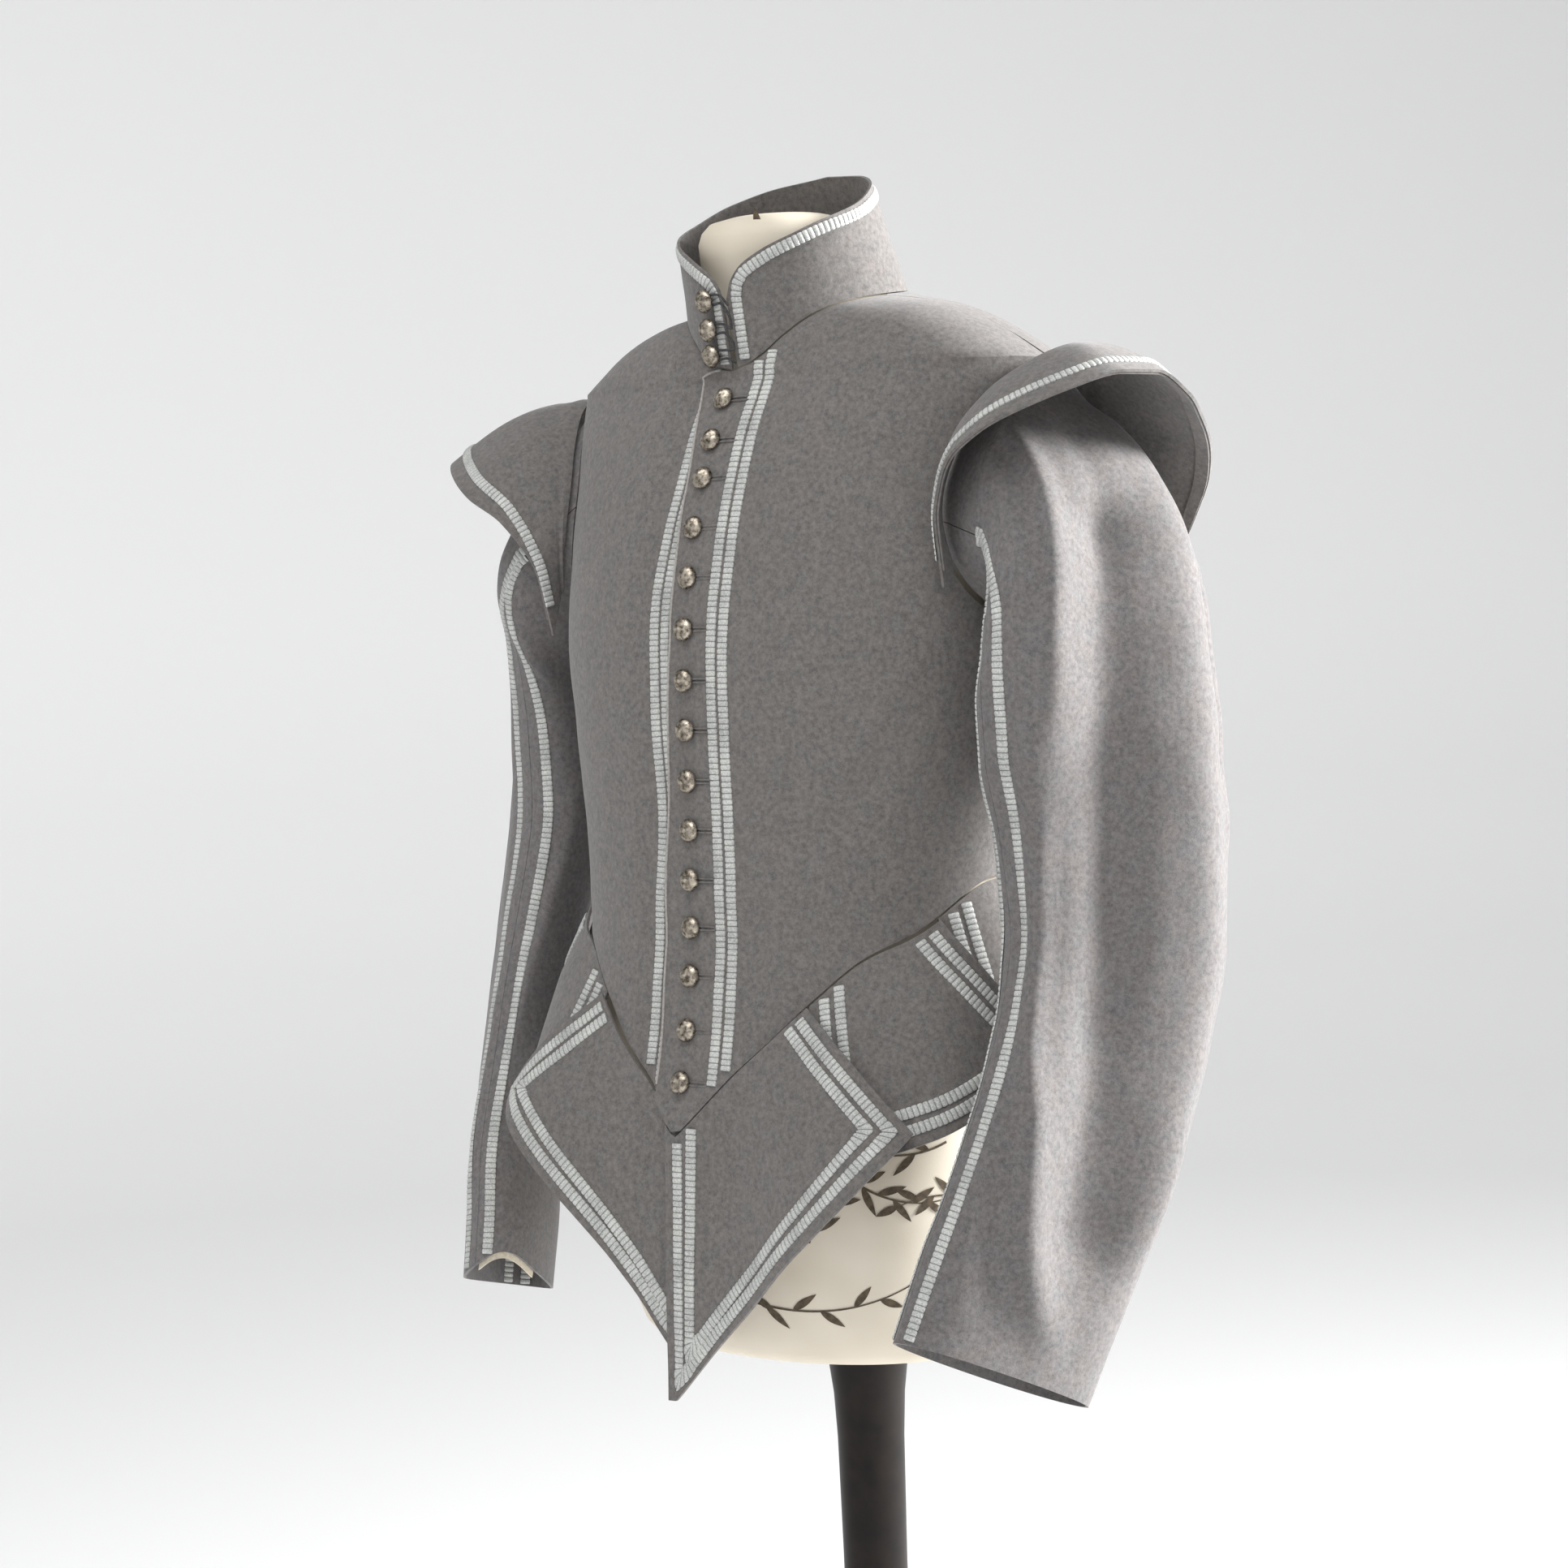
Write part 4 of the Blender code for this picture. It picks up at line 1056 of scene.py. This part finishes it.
COVER = paint.material
torso = mesh_object("form_torso", points, faces, COVER)
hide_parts("form")
print("form:", len(faces), "faces")

# %% [markdown]
# The print is a set of thin shapes laid on the cover: each sprig is a stem that bends as it grows, with
# leaves on alternate sides. Drawing it as flat shapes keeps its edges crisp without any picture file.

# %% Printed sprigs
paint = Paint("print_brown", Roughness=0.75)
paint.set(Base_Color=paint.ramp(paint.noise(300), (0.35, rgb(66, 56, 42)), (0.7, rgb(98, 84, 64))))
PRINT = paint.material


def sprig(place, start, heading, bend, length, leaves, points, faces):
    """place(u, v) is a point of the cover; the sprig grows from start=(u, v), in metres."""
    spots, u, v, a = [], *start, heading
    steps = 26
    for k in range(steps + 1):
        spots.append((u, v, a))
        u, v, a = u + math.cos(a) * length / steps, v + math.sin(a) * length / steps, a + bend / steps
    outline = []
    for (u, v, a), k in zip(spots, range(steps + 1)):
        half = 0.0008 * (1 - 0.5 * k / steps)
        outline.append([(u - math.sin(a) * h, v + math.cos(a) * h) for h in (-half, half)])
    shapes = [outline]
    for k in range(leaves):
        u, v, a = spots[int(mix(4, steps, k / max(1, leaves - 1)))]
        turn = a + (0.62 if k % 2 else -0.62) * (0 if k == leaves - 1 else 1)
        long = 0.021 * (1 - 0.25 * k / leaves)
        leaf = []
        for i in range(9):
            t = i / 8
            half = 0.0027 * math.sin(math.pi * t) ** 0.8 * (1.15 - 0.5 * t)
            x, y = u + math.cos(turn) * long * t, v + math.sin(turn) * long * t
            leaf.append([(x - math.sin(turn) * h, y + math.cos(turn) * h) for h in (-half, half)])
        shapes.append(leaf)
    for shape in shapes:
        first = len(points)
        for pair in shape:
            points += [place(*q) for q in pair]
        faces += [(a, a + 1, a + 3, a + 2) for a in range(first, first + 2 * len(shape) - 2, 2)]


def on_form(u, v):
    """u metres round the form from its front, v its height."""
    return form_low(math.degrees(u / ROUND), max(v, 0.792), 0.00025)


def on_neck(u, v):
    r = u / 0.053
    return Vector((0.0567 * math.sin(r), -0.0415 - 0.0508 * math.cos(r), v))


# degrees round the form, height, heading, bend, length, leaves
SPRIGS = ((68, .926, 3.5, -1.0, .085, 7), (40, .908, -0.7, 0.9, .070, 6), (6, .826, -0.25, 0.7, .120, 6),
          (64, .850, -2.0, 0.8, .052, 4), (84, .880, 2.6, 0.9, .075, 6), (28, .865, 1.2, -0.8, .055, 5),
          (-22, .838, 0.3, -0.9, .080, 6), (-48, .900, -1.0, 0.8, .075, 6), (-80, .850, 0.9, 0.9, .080, 6),
          (-112, .905, -0.6, -0.9, .080, 6), (-145, .850, 0.7, -0.8, .080, 6),
          (112, .860, 1.0, -0.9, .080, 6), (140, .910, -1.1, 0.8, .075, 6), (168, .850, 0.8, 0.9, .080, 6),
          (-166, .920, -0.9, 0.7, .070, 5))
points, faces = [], []
for deg, z, way, bend, length, leaves in SPRIGS:
    sprig(on_form, (math.radians(deg) * ROUND, z), way, bend, length, leaves, points, faces)
sprig(on_neck, (0.016, 1.472), 1.25, 0.5, 0.024, 3, points, faces)
printed = mesh_object("form_print", points, faces, PRINT)
print("print:", len(faces), "faces")

# %% [markdown]
# ## Post and base
# A dark turned post carries the form. Both it and the round base start as a circle, extruded and scaled ring
# by ring.

# %% The stand
paint = Paint("dark_wood", Roughness=0.42)
grain = paint.noise(60, 4, 0.6)
paint.set(Base_Color=paint.ramp(grain, (0.3, rgb(14, 11, 10)), (0.7, rgb(30, 23, 19))), Specular_IOR_Level=0.22)
WOOD = paint.material
# radius, height
STEM = ((.030, .0303), (.031, .035), (.031, .045), (.026, .056), (.022, .070), (.020, .30), (.0215, .62),
        (.0225, .70), (.0240, .730), (.0265, .750), (.0280, .765), (.0285, .7775), (.0275, .7785))
FOOT = ((.170, .0), (.175, .004), (.175, .010), (.172, .020), (.163, .026), (.150, .0285), (.040, .030),
        (.030, .030))
post, base = turned("form_stem", STEM, 64, WOOD), turned("form_foot", FOOT, 96, WOOD)
for obj, node in ((post, "form_post"), (base, "form_base")):
    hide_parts(node)
print("stand:", len(post.data.polygons) + len(base.data.polygons), "faces")

# %% [markdown]
# ## Each piece beside its cut
# Each sheet's area is printed beside the width and length of the piece that it was cut from, and every new
# mesh is attached to the model's root body.

# %% Cloth areas beside their cuts
# piece, width and length of its cut in metres
CUTS = {"front": (0.28, 0.52), "back": (0.46, 0.42), "collar": (0.46, 0.085), "wing": (0.36, 0.11),
        "wing_facing": (0.36, 0.012), "sleeve_upper": (0.26, 0.62), "sleeve_under": (0.24, 0.48),
        "tab_1": (0.22, 0.20), "tab_2": (0.17, 0.15), "tab_3": (0.17, 0.14), "tab_4": (0.20, 0.16),
        "cuff_lining": (0.085, 0.022)}
for obj, area in bodies:
    kind = max((k for k in CUTS if obj.name.startswith(k)), key=len)
    width, length = CUTS[kind]
    print("%-26s %.4f m2 of %.4f" % (obj.name, area, width * length))
for obj in bpy.data.objects:
    if obj.type == "MESH" and "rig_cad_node" not in obj:
        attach(obj, "root")

# %% [markdown]
# ## Floor, light and camera
# A pale floor that runs into a pale background, and large soft lamps, show the pads of the braid and the
# folds of the sleeves without hard shadows. The camera stands to the wearer's left at chest height, with a
# long lens.

# %% Studio and camera
bpy.ops.mesh.primitive_circle_add(vertices=96, radius=4.6, fill_type="NGON")
floor = bpy.context.object
floor.name = floor.data.name = "studio_floor"
bpy.ops.object.mode_set(mode="EDIT")
bpy.ops.mesh.select_mode(type="EDGE")
bpy.ops.mesh.select_all(action="SELECT")
bpy.ops.mesh.region_to_loop()
for radius, rise in ((5.2, 0.10), (5.7, 0.36), (6.05, 0.75), (6.2, 1.3), (6.25, 5.0)):
    reach = max(v.co.xy.length for v in bmesh.from_edit_mesh(floor.data).verts)
    height = max(v.co.z for v in bmesh.from_edit_mesh(floor.data).verts)
    bpy.ops.mesh.extrude_edges_move(TRANSFORM_OT_translate={"value": (0, 0, rise - height)})
    bpy.ops.transform.resize(value=(radius / reach, radius / reach, 1), center_override=(0, 0, rise))
bpy.ops.object.mode_set(mode="OBJECT")
paint = Paint("studio_pale", Roughness=0.9, Emission_Strength=0.13)
paint.set(Base_Color=(*rgb(222, 222, 222), 1), Emission_Color=(1, 1, 1, 1))
floor.data.materials.append(paint.material)
bpy.ops.object.shade_smooth()

world = bpy.data.worlds.new("pale_world")
bpy.context.scene.world = world
world.use_nodes = True
world.node_tree.nodes["Background"].inputs[0].default_value = (0.86, 0.87, 0.88, 1)
world.node_tree.nodes["Background"].inputs[1].default_value = 0.35

TARGET = Vector((0, 0, 1.2))
LAMPS = (("window", (2.15, 1.70, 2.1), 290, 0.9), ("ceiling", (0.5, -1.3, 3.5), 44, 1.8))
for name, place, energy, size in LAMPS:
    lamp = bpy.data.lights.new(name, "AREA")
    lamp.energy, lamp.size = energy, size
    lit = bpy.data.objects.new(name, lamp)
    lit.location = place
    lit.rotation_euler = (Vector(place) - TARGET).to_track_quat("Z", "Y").to_euler()
    bpy.context.scene.collection.objects.link(lit)

AZIMUTH, YAW, PITCH_DOWN, ROLL = (math.radians(v) for v in (39, 1.1634, 3.5, 2.23))
heading = AZIMUTH + YAW
level = Vector((-math.sin(heading), math.cos(heading), 0))
forward = level * math.cos(PITCH_DOWN) - Vector((0, 0, math.sin(PITCH_DOWN)))
right = level.cross(Vector((0, 0, 1)))
above = right.cross(forward)
c, k = math.cos(ROLL), math.sin(ROLL)
right, above = right * c - above * k, above * c + right * k
eye = bpy.data.cameras.new("camera")
eye.lens, eye.sensor_width = 70.8, 36
camera = bpy.data.objects.new("camera", eye)
turn = Matrix((right, above, -forward)).transposed().to_4x4()
camera.matrix_world = Matrix.Translation((2.05 * math.sin(AZIMUTH), -2.05 * math.cos(AZIMUTH), 1.267)) @ turn
bpy.context.scene.collection.objects.link(camera)
bpy.context.scene.camera = camera
bpy.context.scene.view_settings.view_transform = "Standard"
